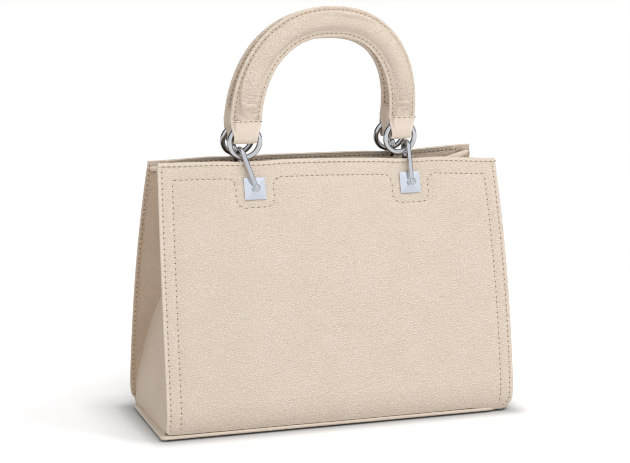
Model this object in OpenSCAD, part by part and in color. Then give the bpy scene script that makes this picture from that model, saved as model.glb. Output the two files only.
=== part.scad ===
// Structured top handle bag in pebbled leather. Two bowed panels and two
// folded side gussets stand on a flat base, and each panel carries an arched
// padded handle on round rings, hook links and small pyramid plates.
// Millimetres, +Z up, front towards -Y, origin at the centre of the base.

/* [Body] */
// Height from the floor to the top edge of the panels
bag_h = 228; // [190:1:260]
// Width of the panels at the foot
foot_w = 320; // [280:1:350]
// How much narrower the panels are at the top edge
top_narrowing = 12; // [0:1:40]
// How late the sides draw in towards the top, 1 is straight
side_curve = 2.5; // [1:0.1:4]
// Depth over the panels just above their turned foot
base_d = 128; // [100:1:150]
// Depth over the panels at the mouth
mouth_d = 44; // [40:1:60]
// How many degrees the lean of a panel grows from there to the mouth
lean_growth = 8; // [6:0.5:16]
// Height over which the foot of a panel turns under
turn_h = 26; // [18:1:32]
// Radius of that turn
turn_r = 43; // [36:1:60]
// Radius of the lower corners of a panel
foot_corner_r = 12; // [6:1:25]
// Radius of the upper corners of a panel
top_corner_r = 2.5; // [1:0.5:5]

/* [Leather and lining] */
// Thickness of the outer leather
leather_t = 1.6; // [1.2:0.1:2.2]
// Thickness of the stiffening board behind a panel
board_t = 0.9; // [0.6:0.1:1.5]
// Thickness of the leather facing inside the mouth
facing_t = 1; // [0.8:0.1:1.4]
// Height of that facing
facing_h = 46; // [40:1:60]
// Thickness of the lining cloth
lining_t = 0.5; // [0.4:0.1:0.8]
// How far the inner layers stay in from the side edges of a panel
layer_inset = 16; // [15:0.5:22]
// Thickness of the binding round the top edge
bind_t = 0.8; // [0.5:0.1:1]
// Height of the binding
bind_h = 4.2; // [3:0.2:6]

/* [Base] */
// Height of the four metal studs under the base
stud_h = 2.6; // [2:0.2:4]
// Radius of a stud
stud_r = 5; // [4:0.5:7]
// Radius of the shank of a stud
stud_shank_r = 1.5; // [1:0.1:2]
// How far the studs stand in from the ends of the base
stud_in_x = 26; // [16:1:40]
// How far the studs stand in from the front and back of the base
stud_in_y = 20; // [14:1:30]
// Thickness of the washer that holds a stud
stud_washer_t = 0.6; // [0.4:0.1:1]
// Thickness of the base leather with its turned edge
base_t = 2.4; // [2:0.1:4]
// How far the turned edge stands out past the panels
lip = 2; // [1:0.1:3]
// Radius of the corners of the base
base_corner_r = 8; // [3:0.5:10]
// Thickness of the stiff board on the base
base_board_t = 2; // [1.5:0.1:3]

/* [Gussets] */
// Thickness of the gusset leather
gusset_t = 1.2; // [0.9:0.1:1.6]
// Width of the seam flange along each panel
flange_w = 4.2; // [3:0.1:6]
// How far the flange stays in from the edge of the panel
flange_inset = 0.6; // [0.3:0.1:1.5]
// How far the fold reaches in at the mouth
fold_in = 36; // [20:1:42]
// How slowly the fold deepens from the foot
fold_rise = 1.3; // [1:0.05:2]
// Height above the foot at which the two creases meet
crease_h = 138; // [100:1:170]
// Curve of the creases, 1 is straight
crease_curve = 1.8; // [1:0.1:2.5]
// Width of the rounded nose of the fold, as a share of the depth
nose_share = 0.05; // [0.04:0.01:0.1]
// How far the top of a gusset lies below the top edge
gusset_drop = 5; // [3:0.5:10]

/* [Handles] */
// Half distance between the centrelines of the legs of a handle
leg_half = 71.7; // [60:0.1:80]
// Height of the arch above the ends of the padding
arch_h = 86; // [70:1:110]
// Squareness of the arch, 2 is an ellipse
arch_power = 2.34; // [2:0.02:3]
// Width of a handle over its sewn edges
handle_w = 25; // [20:0.5:30]
// Width of the padded roll between the stitch rows
roll_w = 18.6; // [14:0.2:22]
// How far the roll stands out on the outer side
roll_out = 7.4; // [5:0.2:10]
// How far the roll stands out on the inner side
roll_in = 4.6; // [3.4:0.2:7]
// Thickness of one leather layer of a handle
strap_t = 1.2; // [0.8:0.1:1.6]
// Length over which the padding swells from its flat end
swell_l = 9; // [6:0.5:20]
// How far the front handle leans out from the upright
front_lean = 8.5; // [4:0.5:20]
// How far the back handle leans in from the upright
back_lean = 19; // [8:0.5:20]
// How far the front handle has slipped to the left
front_slip = 6; // [2:0.5:6]
// How far the back handle has slipped to the left
back_slip = 3; // [1:0.5:4]

/* [Tabs and rings] */
// Centreline radius of a ring
ring_r = 13.5; // [13:0.1:15]
// Radius of the wire of a ring
wire_r = 2.3; // [1.8:0.1:2.5]
// Thickness of the leather of a tab
tab_t = 1.6; // [1:0.1:2]
// Width of a tab where it leaves the handle
tab_top_w = 24.4; // [21:0.2:26]
// Width of a tab at its fold through the ring
tab_fold_w = 20; // [16:0.2:20]
// How far the fold of a tab hangs below the centre of the ring
tab_hang = 1.2; // [0:0.1:1.4]
// Height of the outer layer of a tab above the centre of the ring
tab_out_h = 20; // [19:0.5:26]
// Height of the inner layer of a tab above the centre of the ring
tab_in_h = 30; // [24:0.5:40]

/* [Links and plates] */
// Half distance between the plates of a panel
plate_half = 71.7; // [60:0.1:80]
// How far the middle of a plate is below the top edge
plate_drop = 21.5; // [19:0.5:27]
// Side of a plate
plate_side = 18.8; // [16:0.2:22]
// Thickness of a plate at its edge
plate_edge_t = 0.9; // [0.6:0.1:1.5]
// Height of the four facets above that edge
plate_rise = 1.5; // [1:0.1:2.5]
// Radius of the rod of a link
rod_r = 2.2; // [1.8:0.1:2.2]
// Distance along a link from its pivot to the wire of the ring
link_reach = 28.5; // [28.5:0.1:31]
// How many degrees a link leans in from the plane of its plate
link_lean = 4; // [2:0.5:4]
// Distance of the wire behind the rod
wire_back = 7.5; // [7.4:0.1:8]
// Room inside the hook of a link, front to back
hook_gap = 7.9; // [7.8:0.1:8.6]
// Free height above the wire inside the hook
hook_slack = 4; // [3.4:0.1:4.2]
// How far the back of the hook comes down past the wire
hook_drop = 2; // [1:0.1:2.2]
// How many degrees the tip of the hook curls under the wire
hook_curl = 30; // [10:5:35]
// Radius of the rounded foot of a link round its pivot
hub_r = 3.4; // [3:0.1:4]
// Radius of the shank of a pivot rivet
rivet_r = 1.5; // [1.2:0.1:1.8]
// Radius of the head of a pivot rivet
rivet_head_r = 2.5; // [2:0.1:3]
// Height of the head of a pivot rivet
rivet_head_h = 1.1; // [0.8:0.1:1.6]
// Radius of the washer of a rivet inside the bag
washer_r = 5; // [4:0.5:6]
// Thickness of that washer
washer_t = 0.7; // [0.5:0.1:1]
// Swing of the front left link from the upright, outwards
swing_front_left = 16; // [10:0.5:16]
// Swing of the front right link from the upright, outwards
swing_front_right = 1; // [-3:0.5:1]
// Swing of the back left link from the upright, outwards
swing_back_left = 10; // [5:0.5:12]
// Swing of the back right link from the upright, outwards
swing_back_right = -1; // [-4:0.5:3]

/* [Closure and pocket] */
// Radius of the magnetic snap
snap_r = 9; // [7:0.5:10]
// Thickness of each half of the snap
snap_t = 2.2; // [1.5:0.1:3]
// Radius of the nipple of the snap
snap_pin_r = 3; // [2:0.5:4]
// Depth of the snap below the top edge
snap_drop = 22; // [18:1:28]
// Width of the inner pocket
pocket_w = 190; // [150:1:220]
// Height of the inner pocket
pocket_h = 92; // [70:1:100]
// Thickness of the flat pocket bag
pocket_t = 1; // [0.6:0.1:2]
// Gap between the facing and the zip
pocket_drop = 10; // [6:1:16]
// Height of the zip tape
tape_h = 16; // [12:1:20]
// Width of the row of teeth
teeth_w = 4; // [3:0.5:5]
// Thickness of the tape and of the teeth above it
tape_t = 0.6; // [0.4:0.1:1]
// Length of the zip slider
slider_l = 9; // [7:0.5:12]
// Width of the slider
slider_w = 7; // [6:0.5:9]
// Thickness of the slider
slider_t = 2; // [1.5:0.1:3]
// Length of the pull on the slider
pull_l = 24; // [16:1:30]
// Width of the pull
pull_w = 5; // [4:0.5:7]

/* [Clearances] */
// Room between the wire and the tab, and between other moving pieces
play = 0.3; // [0.3:0.05:0.4]
// Radial clearance of a link on its rivet
pivot_play = 0.06; // [0.02:0.01:0.1]
// Gap between layers that are sewn or glued together
sew_gap = 0.1; // [0.05:0.01:0.15]

/* [Hidden] */

// Facet counts
arc_fn = 720;
round_fn = 48;
corner_n = 6;
side_n = 14;
// How many levels a gusset has, and how much closer they lie towards the foot
gusset_n = 22;
level_curve = 1.5;
path_n = 34;
roll_n = 6;
// Overrun of a cutting solid past what it cuts
over = 2;
// Colours
leather_c = [0.87, 0.81, 0.74];
lining_c = [0.62, 0.55, 0.47];
board_c = [0.5, 0.44, 0.38];
metal_c = [0.78, 0.8, 0.84];

// Levels of the plates and the base
plate_z = bag_h - plate_drop;
foot_z = stud_h + base_t;
board_top = foot_z + base_board_t;
// A panel is part of a large cylinder that lies along X, and of a small one
// where its foot turns under
rise_h = bag_h - foot_z;
turn_z = foot_z + turn_h;
arc_h = bag_h - turn_z;
rise_in = (base_d - mouth_d) / 2;
mid_lean = atan2(rise_in, arc_h);
foot_lean = mid_lean - lean_growth / 2;
panel_r = norm([rise_in, arc_h]) / (2 * sin(lean_growth / 2));
arc_y = panel_r * cos(foot_lean) - base_d / 2;
arc_z = turn_z - panel_r * sin(foot_lean);
turn_y = turn_r * cos(foot_lean) - base_d / 2;
turn_mid = turn_z - turn_r * sin(foot_lean);
// Depths below the outer face at which the layers of a panel begin
board_at = leather_t;
facing_at = board_at + board_t;
facing_end = facing_at + facing_t;
lining_end = facing_at + lining_t;
panel_top = bag_h - bind_t;
facing_foot = bag_h - facing_h;
// Lean of a panel at a height, and the depth from the middle to a layer
function lean_at(z) = asin((z - arc_z) / panel_r);
function arc_depth(z, r, y, mid) = r * cos(asin((z - mid) / r)) - y;
function half_depth(z, t) = z < turn_z - t * sin(foot_lean) ? arc_depth(z, turn_r - t, turn_y, turn_mid)
  : arc_depth(z, panel_r - t, arc_y, arc_z);
foot_d = 2 * half_depth(foot_z, 0);
function half_w(z) = foot_w / 2 - top_narrowing / 2 * pow(max(0, (z - foot_z) / rise_h), side_curve);

// Outline of a layer seen from the front, inset at its sides
function half_outline(inset, z0, z1, r0, r1) = concat(
  [for (i = [0:corner_n]) let (a = 90 * i / corner_n)
    [half_w(z0) - inset - r0 + r0 * sin(a), z0 + r0 - r0 * cos(a)]],
  [for (i = [1:side_n]) let (z = z0 + r0 + (z1 - r1 - z0 - r0) * i / (side_n + 1))
    [half_w(z) - inset, z]],
  [for (i = [0:corner_n]) let (a = 90 * i / corner_n)
    [half_w(z1) - inset - r1 + r1 * cos(a), z1 - r1 + r1 * sin(a)]]);
function flip(points) = [for (i = [len(points) - 1:-1:0]) [-points[i][0], points[i][1]]];
function outline(inset, z0, z1, r0, r1) = let (h = half_outline(inset, z0, z1, r0, r1)) concat(h, flip(h));
function round_rect(w, d, r) = [for (q = [0:3], i = [0:corner_n]) let (a = 90 * q + 90 * i / corner_n,
  sx = (q == 0 || q == 3) ? 1 : -1, sy = (q < 2) ? 1 : -1)
  [sx * (w / 2 - r) + r * cos(a), sy * (d / 2 - r) + r * sin(a)]];

// Layer of the front panel between two depths, and the same at its turned foot
module tube_layer(y, mid, r, t0, t1) {
  translate([-foot_w / 2 - lip, y, mid])
    rotate([0, 90, 0])
      difference() {
        cylinder(r = r - t0, h = foot_w + 2 * lip, $fn = arc_fn);
        translate([0, 0, -over])
          cylinder(r = r - t1, h = foot_w + 2 * lip + 2 * over, $fn = arc_fn);
      }
}
module arc_layer(t0, t1) {
  tube_layer(arc_y, arc_z, panel_r, t0, t1);
}
module beyond_turn(up) {
  translate([0, -base_d / 2, turn_z])
    rotate([-foot_lean, 0, 0])
      translate([-foot_w, -base_d, up ? 0 : -bag_h])
        cube([2 * foot_w, 2 * base_d, bag_h]);
}
module bowed_layer(t0, t1) {
  intersection() {
    arc_layer(t0, t1);
    beyond_turn(true);
  }
  intersection() {
    tube_layer(turn_y, turn_mid, turn_r, t0, t1);
    beyond_turn(false);
  }
}
module front_prism(points) {
  rotate([90, 0, 0])
    linear_extrude(height = base_d)
      polygon(points);
}
module layer(t0, t1, inset, z0, z1, r0, r1) {
  intersection() {
    if (z0 < turn_z)
      bowed_layer(t0, t1);
    else
      arc_layer(t0, t1);
    front_prism(outline(inset, z0, z1, r0, r1));
  }
}
// Frame on the outer face of the front panel: X across, Y up the panel, Z out
module on_panel(x, z) {
  translate([x, -half_depth(z, 0), z])
    rotate([90 - lean_at(z), 0, 0])
      children();
}
module rivet_holes(r) {
  for (s = [-1, 1])
    on_panel(s * plate_half, plate_z)
      translate([0, 0, -facing_end - over])
        cylinder(r = r, h = facing_end + 2 * over, $fn = round_fn);
}
module to_back() {
  mirror([0, 1, 0])
    children();
}

// Panels and the layers behind them
module panel_shell() {
  color(leather_c)
    difference() {
      layer(0, leather_t, 0, foot_z, panel_top, foot_corner_r, top_corner_r);
      rivet_holes(rivet_r);
    }
}
module board_shell() {
  color(board_c)
    difference() {
      layer(board_at, facing_at, layer_inset, board_top + sew_gap, panel_top, foot_corner_r, top_corner_r);
      rivet_holes(rivet_r);
    }
}
module facing_shell() {
  color(leather_c)
    difference() {
      layer(facing_at, facing_end, layer_inset, facing_foot, panel_top, top_corner_r, top_corner_r);
      rivet_holes(rivet_r);
    }
}
module lining_shell() {
  color(lining_c)
    layer(facing_at, lining_end, layer_inset, lining_foot, facing_foot, foot_corner_r, top_corner_r);
}
// Binding: a folded strip over the top edge of the panel and its layers
module binding_shell() {
  color(leather_c)
    difference() {
      layer(-bind_t, facing_end + bind_t, layer_inset - bind_t, bag_h - bind_h, bag_h, bind_t / 2, bind_t / 2);
      layer(0, facing_end, layer_inset - over, bag_h - bind_h - over, panel_top, bind_t / 2, bind_t / 2);
    }
  color(leather_c)
    difference() {
      layer(-bind_t, leather_t, top_corner_r, bag_h - bind_h, bag_h, bind_t / 2, bind_t / 2);
      layer(0, leather_t + over, 0, bag_h - bind_h - over, panel_top, bind_t / 2, bind_t / 2);
      front_prism(outline(layer_inset - bind_t, bag_h - bind_h - over, bag_h + over, bind_t / 2, bind_t / 2));
    }
}

// Gusset: its plan at each height is a line from flange to flange round the
// fold. Below the meeting point of the creases the nose opens to a triangle.
function rise_share(z) = (z - foot_z) / rise_h;
function fold_at(z) = fold_in * pow(sin(90 * rise_share(z)), fold_rise);
function nose_at(z) = max(nose_share, 1 - max(nose_share, pow(min(1, (z - foot_z) / crease_h), crease_curve)));
function gusset_half(z) = half_depth(z, leather_t) - sew_gap - gusset_t;
root_in = flange_inset + flange_w;
// The flange follows the round corner of the panel down to its narrowest.
function corner_in(z) = let (v = max(0, foot_corner_r + foot_z - z))
  foot_corner_r - sqrt(pow(foot_corner_r, 2) - pow(v, 2));
function flange_at(z) = min(root_in - gusset_t, flange_inset + corner_in(z));
lining_back = board_t + facing_t + sew_gap + play + lining_t;
function lining_line(z) = let (h = gusset_half(z), n = nose_at(z) * h, f = fold_at(z),
  e = max(h - lining_back, n + play), x = root_in + f * (h - e) / (h - n))
  [[x, -e], [root_in + f, -n], [root_in + f, n], [x, e]];
function gusset_line(z) = let (h = gusset_half(z), x = flange_at(z))
  concat([[x, -h], [root_in, -h]], lining_line(z), [[root_in, h], [x, h]]);
function unit(v) = v / norm(v);
function right_of(a, b) = let (d = unit(b - a)) [d[1], -d[0]];
function shifted(line, t) = [for (i = [0:len(line) - 1])
  let (n0 = right_of(line[max(0, i - 1)], line[max(1, i)]),
    n1 = right_of(line[min(len(line) - 2, i)], line[min(len(line) - 1, i + 1)]), m = unit(n0 + n1))
  line[i] + m * t / (m * n0)];
// Closed skin over rings that all have the same number of points. A ring goes
// along one line and back along another, and its ends are strips between them.
function end_strip(n, k) = [for (i = [0:k / 2 - 2], h = [0:1])
  h == 0 ? [n + i, n + i + 1, n + k - 2 - i] : [n + i, n + k - 2 - i, n + k - 1 - i]];
function turned(faces) = [for (f = faces) [for (i = [len(f) - 1:-1:0]) f[i]]];
function skin_faces(rings, k) = concat(end_strip(0, k),
  [for (j = [0:rings - 2], i = [0:k - 1], h = [0:1]) let (a = j * k + i, b = j * k + (i + 1) % k)
    i < k / 2 ? (h == 0 ? [a, a + k, b] : [b, a + k, b + k])
      : (h == 0 ? [a, a + k, b + k] : [a, b + k, b])],
  turned(end_strip((rings - 1) * k, k)));
// Heights at which the gusset and its lining have points, the same for both
gusset_top = bag_h - gusset_drop;
lining_foot = board_top + stud_washer_t + lining_t + sew_gap;
lining_top = gusset_top - bind_h;
lining_levels = concat([lining_foot], [for (j = [1:gusset_n - 1])
  let (z = foot_z + (gusset_top - foot_z) * pow(j / gusset_n, level_curve))
  if (z > lining_foot + play && z < lining_top - play) z], [lining_top]);
gusset_levels = concat([foot_z], lining_levels, [gusset_top]);
module gusset_sheet(t0, t1, heights, lined) {
  rings = [for (z = heights) let (line = lined ? lining_line(z) : gusset_line(z),
    a = shifted(line, t0), b = shifted(line, t1))
    [for (p = concat(b, [for (i = [len(a) - 1:-1:0]) a[i]])) [p[0] - half_w(z), p[1], z]]];
  polyhedron(points = [for (r = rings, p = r) p], faces = skin_faces(len(rings), len(rings[0])));
}
module gusset() {
  color(leather_c)
    gusset_sheet(0, gusset_t, gusset_levels, false);
}
module gusset_lining() {
  color(lining_c)
    gusset_sheet(gusset_t + play, gusset_t + play + lining_t, lining_levels, true);
}
module gusset_binding() {
  color(leather_c)
    gusset_sheet(0, gusset_t, [gusset_top, gusset_top + gusset_t], false);
}
module to_right() {
  mirror([1, 0, 0])
    children();
}

// Base
module base_slab(w, d, r, z, t) {
  translate([0, 0, z])
    linear_extrude(height = t)
      polygon(round_rect(w, d, r));
}
module at_studs() {
  for (x = [-1, 1], y = [-1, 1])
    translate([x * (foot_w / 2 - stud_in_x), y * (foot_d / 2 - stud_in_y), 0])
      children();
}
module stud_holes() {
  at_studs()
    cylinder(r = stud_shank_r, h = board_top + over, $fn = round_fn);
}
inner_d = 2 * half_depth(board_top, leather_t) - 2 * sew_gap;
board_w = foot_w - 2 * (root_in + gusset_t + fold_at(board_top + over) + sew_gap);
base_inner_d = 2 * half_depth(foot_z, leather_t) - 2 * sew_gap;
lining_w = foot_w - 2 * layer_inset;
module base_panel() {
  color(leather_c)
    difference() {
      base_slab(foot_w, foot_d + 2 * lip, base_corner_r, stud_h, base_t);
      stud_holes();
    }
}
module base_board() {
  color(board_c)
    difference() {
      base_slab(board_w, base_inner_d - 2 * board_t, base_corner_r, foot_z, base_board_t);
      stud_holes();
    }
}
module base_lining() {
  color(lining_c)
    base_slab(lining_w, inner_d - 2 * (board_t + lining_t) - 2 * sew_gap, base_corner_r,
      board_top + stud_washer_t, lining_t);
}
module base_studs() {
  color(metal_c)
    at_studs() {
      rotate_extrude($fn = round_fn)
        polygon(concat([[0, 0]], [for (i = [0:corner_n]) let (a = 90 * i / corner_n)
          [stud_r / 2 + stud_r / 2 * sin(a), stud_h - stud_h * cos(a)]], [[0, stud_h]]));
      translate([0, 0, stud_h / 2])
        cylinder(r = stud_shank_r, h = board_top - stud_h / 2 + stud_washer_t, $fn = round_fn);
    }
}
module stud_washers() {
  color(metal_c)
    at_studs()
      translate([0, 0, board_top])
        difference() {
          cylinder(r = stud_r, h = stud_washer_t, $fn = round_fn);
          translate([0, 0, -over])
            cylinder(r = stud_shank_r, h = stud_washer_t + 2 * over, $fn = round_fn);
        }
}

// Closure: two snap halves on the facings
snap_z = bag_h - snap_drop;
module snap_disc(t0, t1, r) {
  intersection() {
    arc_layer(t0, t1);
    on_panel(0, snap_z)
      translate([0, 0, -t1 - over])
        cylinder(r = r, h = t1 - t0 + 2 * over, $fn = round_fn);
  }
}
module snap_socket() {
  color(metal_c)
    difference() {
      snap_disc(facing_end, facing_end + snap_t, snap_r);
      snap_disc(facing_end + snap_t / 2, facing_end + snap_t + over, snap_pin_r + play);
    }
}
module snap_stud() {
  color(metal_c)
    to_back() {
      snap_disc(facing_end, facing_end + snap_t, snap_r);
      snap_disc(facing_end + snap_t, facing_end + snap_t + snap_t / 2, snap_pin_r);
    }
}

// Zip pocket on the lining of the back panel
pocket_top = facing_foot - pocket_drop;
tape_mid = pocket_top - tape_h / 2;
module strip(t0, t1, w, z0, z1, x) {
  intersection() {
    arc_layer(t0, t1);
    translate([x - w / 2, -base_d, z0])
      cube([w, base_d, z1 - z0]);
  }
}
module pocket_bag() {
  color(lining_c)
    to_back()
      strip(lining_end, lining_end + pocket_t, pocket_w, pocket_top - pocket_h, pocket_top, 0);
}
tape_at = lining_end + pocket_t;
module zip_tape() {
  color(board_c)
    to_back() {
      strip(tape_at, tape_at + tape_t, pocket_w - tape_h, tape_mid - tape_h / 2, tape_mid + tape_h / 2, 0);
      strip(tape_at + tape_t, tape_at + 2 * tape_t, pocket_w - 2 * tape_h, tape_mid - teeth_w / 2,
        tape_mid + teeth_w / 2, 0);
    }
}
slider_x = tape_h + slider_l - pocket_w / 2;
slider_at = tape_at + tape_t + play;
module zip_slider() {
  color(metal_c)
    to_back() {
      difference() {
        strip(slider_at, slider_at + slider_t, slider_l, tape_mid - slider_w / 2, tape_mid + slider_w / 2, slider_x);
        strip(slider_at - over, slider_at + tape_t, slider_l + over, tape_mid - teeth_w / 2 - play,
          tape_mid + teeth_w / 2 + play, slider_x);
      }
      strip(slider_at + slider_t / 2, slider_at + slider_t + tape_t, pull_w, tape_mid - pull_l,
        tape_mid + slider_w / 2, slider_x);
    }
}

// Plates and rivets, in the frame on the panel
plate_top = plate_edge_t + plate_rise;
hub_h = 2 * rod_r;
pivot_h = plate_top + play;
rod_h = pivot_h + rod_r;
module plate(side) {
  color(metal_c)
    on_panel(side * plate_half, plate_z)
      translate([0, 0, sew_gap / 2])
        difference() {
          union() {
            translate([-plate_side / 2, -plate_side / 2, 0])
              cube([plate_side, plate_side, plate_edge_t]);
            translate([0, 0, plate_edge_t])
              rotate([0, 0, 45])
                cylinder(r1 = plate_side / sqrt(2), r2 = 0, h = plate_rise, $fn = 4);
          }
          translate([0, 0, -over])
            cylinder(r = rivet_r, h = plate_top + 2 * over, $fn = round_fn);
        }
}
module rivet(side) {
  color(metal_c)
    on_panel(side * plate_half, plate_z) {
      translate([0, 0, -facing_end - washer_t])
        cylinder(r = rivet_r, h = facing_end + washer_t + pivot_h + hub_h + play, $fn = round_fn);
      translate([0, 0, pivot_h + hub_h + play / 2])
        rotate_extrude($fn = round_fn)
          polygon(concat([[0, 0]], [for (i = [0:corner_n]) let (a = 90 * i / corner_n)
            [rivet_head_r * cos(a), rivet_head_h * sin(a)]]));
    }
}
module washer(side) {
  color(metal_c)
    on_panel(side * plate_half, plate_z)
      translate([0, 0, -facing_end - washer_t - sew_gap / 2])
        difference() {
          cylinder(r = washer_r, h = washer_t, $fn = round_fn);
          translate([0, 0, -over])
            cylinder(r = rivet_r, h = washer_t + 2 * over, $fn = round_fn);
        }
}

// Link: a rod with a bored foot, bent at its top into a hook over the wire
hook_r = (hook_gap + 2 * rod_r) / 2;
hook_up = wire_r + hook_slack - hook_gap / 2;
module bend(r, angle) {
  rotate_extrude(angle = angle, $fn = round_fn)
    translate([r, 0])
      circle(r = rod_r, $fn = round_fn);
}
module link(side, swing) {
  color(metal_c)
    on_panel(side * plate_half, plate_z)
      rotate([0, 0, -side * swing]) {
        difference() {
          union() {
            translate([0, 0, pivot_h])
              cylinder(r = hub_r, h = hub_h, $fn = round_fn);
            translate([0, 0, rod_h])
              rotate([-90 - link_lean, 0, 0]) {
                translate([0, 0, hub_r / 2])
                  cylinder(r = rod_r, h = link_reach + hook_up - hub_r / 2, $fn = round_fn);
                translate([0, hook_r, link_reach + hook_up])
                  rotate([90, 0, 90])
                    bend(hook_r, 180);
                translate([0, 2 * hook_r, link_reach - hook_drop])
                  cylinder(r = rod_r, h = hook_up + hook_drop, $fn = round_fn);
                translate([0, hook_r, link_reach - hook_drop])
                  rotate([90, 0, 90])
                    mirror([0, 1, 0])
                      bend(hook_r, hook_curl);
              }
          }
          cylinder(r = rivet_r + pivot_play, h = pivot_h + hub_h + over, $fn = round_fn);
        }
      }
}

// Axis of the wires in the hooks, on which a handle with its rings folds
full_lean = lean_at(plate_z) + link_lean;
pivot_y = -half_depth(plate_z, 0) - rod_h * cos(lean_at(plate_z));
pivot_z = plate_z + rod_h * sin(lean_at(plate_z));
axis_y = pivot_y + link_reach * sin(full_lean) + wire_back * cos(full_lean);
axis_z = pivot_z + link_reach * cos(full_lean) - wire_back * sin(full_lean);
// Frame of a handle: X across, Z up the handle from the ring centres, -Y out
module on_handle(lean, slip) {
  translate([-slip, axis_y, axis_z])
    rotate([lean, 0, 0])
      translate([0, 0, ring_r])
        children();
}
module ring(side, lean, slip) {
  color(metal_c)
    on_handle(lean, slip)
      translate([side * leg_half, 0, 0])
        rotate([90, 0, 0])
          rotate_extrude($fn = 2 * round_fn)
            translate([ring_r, 0])
              circle(r = wire_r, $fn = round_fn);
}
// Tab: one strip folded through the ring, its two layers round the handle end
tab_gap = wire_r + play;
tab_axis = tab_gap + tab_t - tab_hang;
tab_out = tab_gap + tab_t;
module tab(side, lean, slip) {
  color(leather_c)
    on_handle(lean, slip)
      translate([side * leg_half, 0, 0])
        intersection() {
          difference() {
            union() {
              translate([-tab_top_w / 2, 0, tab_axis])
                rotate([0, 90, 0])
                  cylinder(r = tab_out, h = tab_top_w, $fn = round_fn);
              translate([-tab_top_w / 2, -tab_out, tab_axis])
                cube([tab_top_w, tab_out, tab_out_h - tab_axis]);
              translate([-tab_top_w / 2, 0, tab_axis])
                cube([tab_top_w, tab_out, tab_in_h - tab_axis]);
            }
            translate([-tab_top_w / 2 - over, 0, tab_axis])
              rotate([0, 90, 0])
                cylinder(r = tab_gap, h = tab_top_w + 2 * over, $fn = round_fn);
            translate([-tab_top_w / 2 - over, -tab_gap, tab_axis])
              cube([tab_top_w + 2 * over, 2 * tab_gap, tab_in_h]);
          }
          rotate([90, 0, 0])
            translate([0, 0, -tab_out - over])
              linear_extrude(height = 2 * (tab_out + over))
                polygon([[-tab_fold_w / 2, -tab_hang - over], [tab_fold_w / 2, -tab_hang - over],
                  [tab_fold_w / 2, tab_axis], [tab_top_w / 2, tab_out_h], [tab_top_w / 2, tab_in_h + over],
                  [-tab_top_w / 2, tab_in_h + over], [-tab_top_w / 2, tab_out_h], [-tab_fold_w / 2, tab_axis]]);
        }
}
// Handle: three bodies swept along one arch, between the layers of the tabs
end_h = ring_r + wire_r + play;
flat_h = tab_gap - sew_gap;
function arch_point(a) = let (c = cos(a), s = abs(sin(a)))
  [sign(c) * leg_half * pow(abs(c), 2 / arch_power), end_h + arch_h * pow(s, 2 / arch_power)];
// Angles of the stations: at the ends of the tab's layers, then evenly round
function angle_at(h) = asin(pow((h - end_h) / arch_h, arch_power / 2));
low_angles = [0, angle_at(tab_out_h + play), angle_at((tab_out_h + tab_in_h) / 2), angle_at(tab_in_h + play)];
low_n = len(low_angles);
even_n = path_n - 2 * low_n + 2;
even_from = low_angles[low_n - 1];
function station(i) = (i < low_n) ? low_angles[i] : (i > path_n - low_n) ? 180 - low_angles[path_n - i]
  : even_from + (180 - 2 * even_from) * (i - low_n + 1) / even_n;
function arch_dir(i) = let (d = 90 / path_n / 4, a = station(i))
  (i == 0) ? [0, 1] : (i == path_n) ? [0, -1] : unit(arch_point(a + d) - arch_point(a - d));
function eased(x) = let (c = max(0, min(1, x))) c * c * (3 - 2 * c);
function swelled(h, from, full) = flat_h + (full - flat_h) * eased((h - from) / swell_l);
// Cross-section points [across, out], the roll as a raised cosine bow
function bow(w, x) = pow(max(0, 1 - pow(abs(2 * x / w), 2.6)), 0.62);
function roll_line(w, base, top) = [for (i = [0:roll_n]) let (x = w / 2 - w * i / roll_n)
  [x, base + (top - base) * bow(w, x)]];
function back_line(line) = [for (i = [len(line) - 1:-1:0]) line[i]];
function skin_section(top) = concat([[handle_w / 2, strap_t]], roll_line(roll_w, strap_t, top),
  [[-handle_w / 2, strap_t], [-handle_w / 2, 0]],
  back_line(roll_line(roll_w - 2 * strap_t, 0, top - strap_t)), [[handle_w / 2, 0]]);
core_w = roll_w - 2 * strap_t - 2 * play;
function core_section(top, bottom) = concat(roll_line(core_w, 0, top - strap_t - play),
  [for (p = back_line(roll_line(core_w, 0, bottom - strap_t - play))) if (abs(p[0]) < core_w / 2 - play)
    [p[0], -p[1]]]);
// kind 0 is the cover, 1 the backing, 2 the core
function handle_ring(i, kind) = let (p = arch_point(station(i)), d = arch_dir(i),
  top = swelled(p[1], tab_out_h + play, roll_out), bottom = swelled(p[1], tab_in_h + play, roll_in),
  s = (kind == 0) ? skin_section(top) : (kind == 1) ? skin_section(bottom) : core_section(top, bottom))
  [for (q = s) [p[0] + d[1] * q[0], (kind == 2) ? -q[1] : q[1] + sew_gap / 2, p[1] - d[0] * q[0]]];
module handle_piece(kind, lean, slip) {
  rings = [for (i = [0:path_n]) handle_ring(i, kind)];
  faces = skin_faces(path_n + 1, len(rings[0]));
  on_handle(lean, slip)
    mirror([0, (kind == 0) ? 1 : 0, 0])
      polyhedron(points = [for (r = rings, p = r) p], faces = (kind == 2) ? faces : turned(faces));
}
module cover(lean, slip) {
  color(leather_c)
    handle_piece(0, lean, slip);
}
module backing(lean, slip) {
  color(leather_c)
    handle_piece(1, lean, slip);
}
module core(lean, slip) {
  color(board_c)
    handle_piece(2, lean, slip);
}

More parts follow.
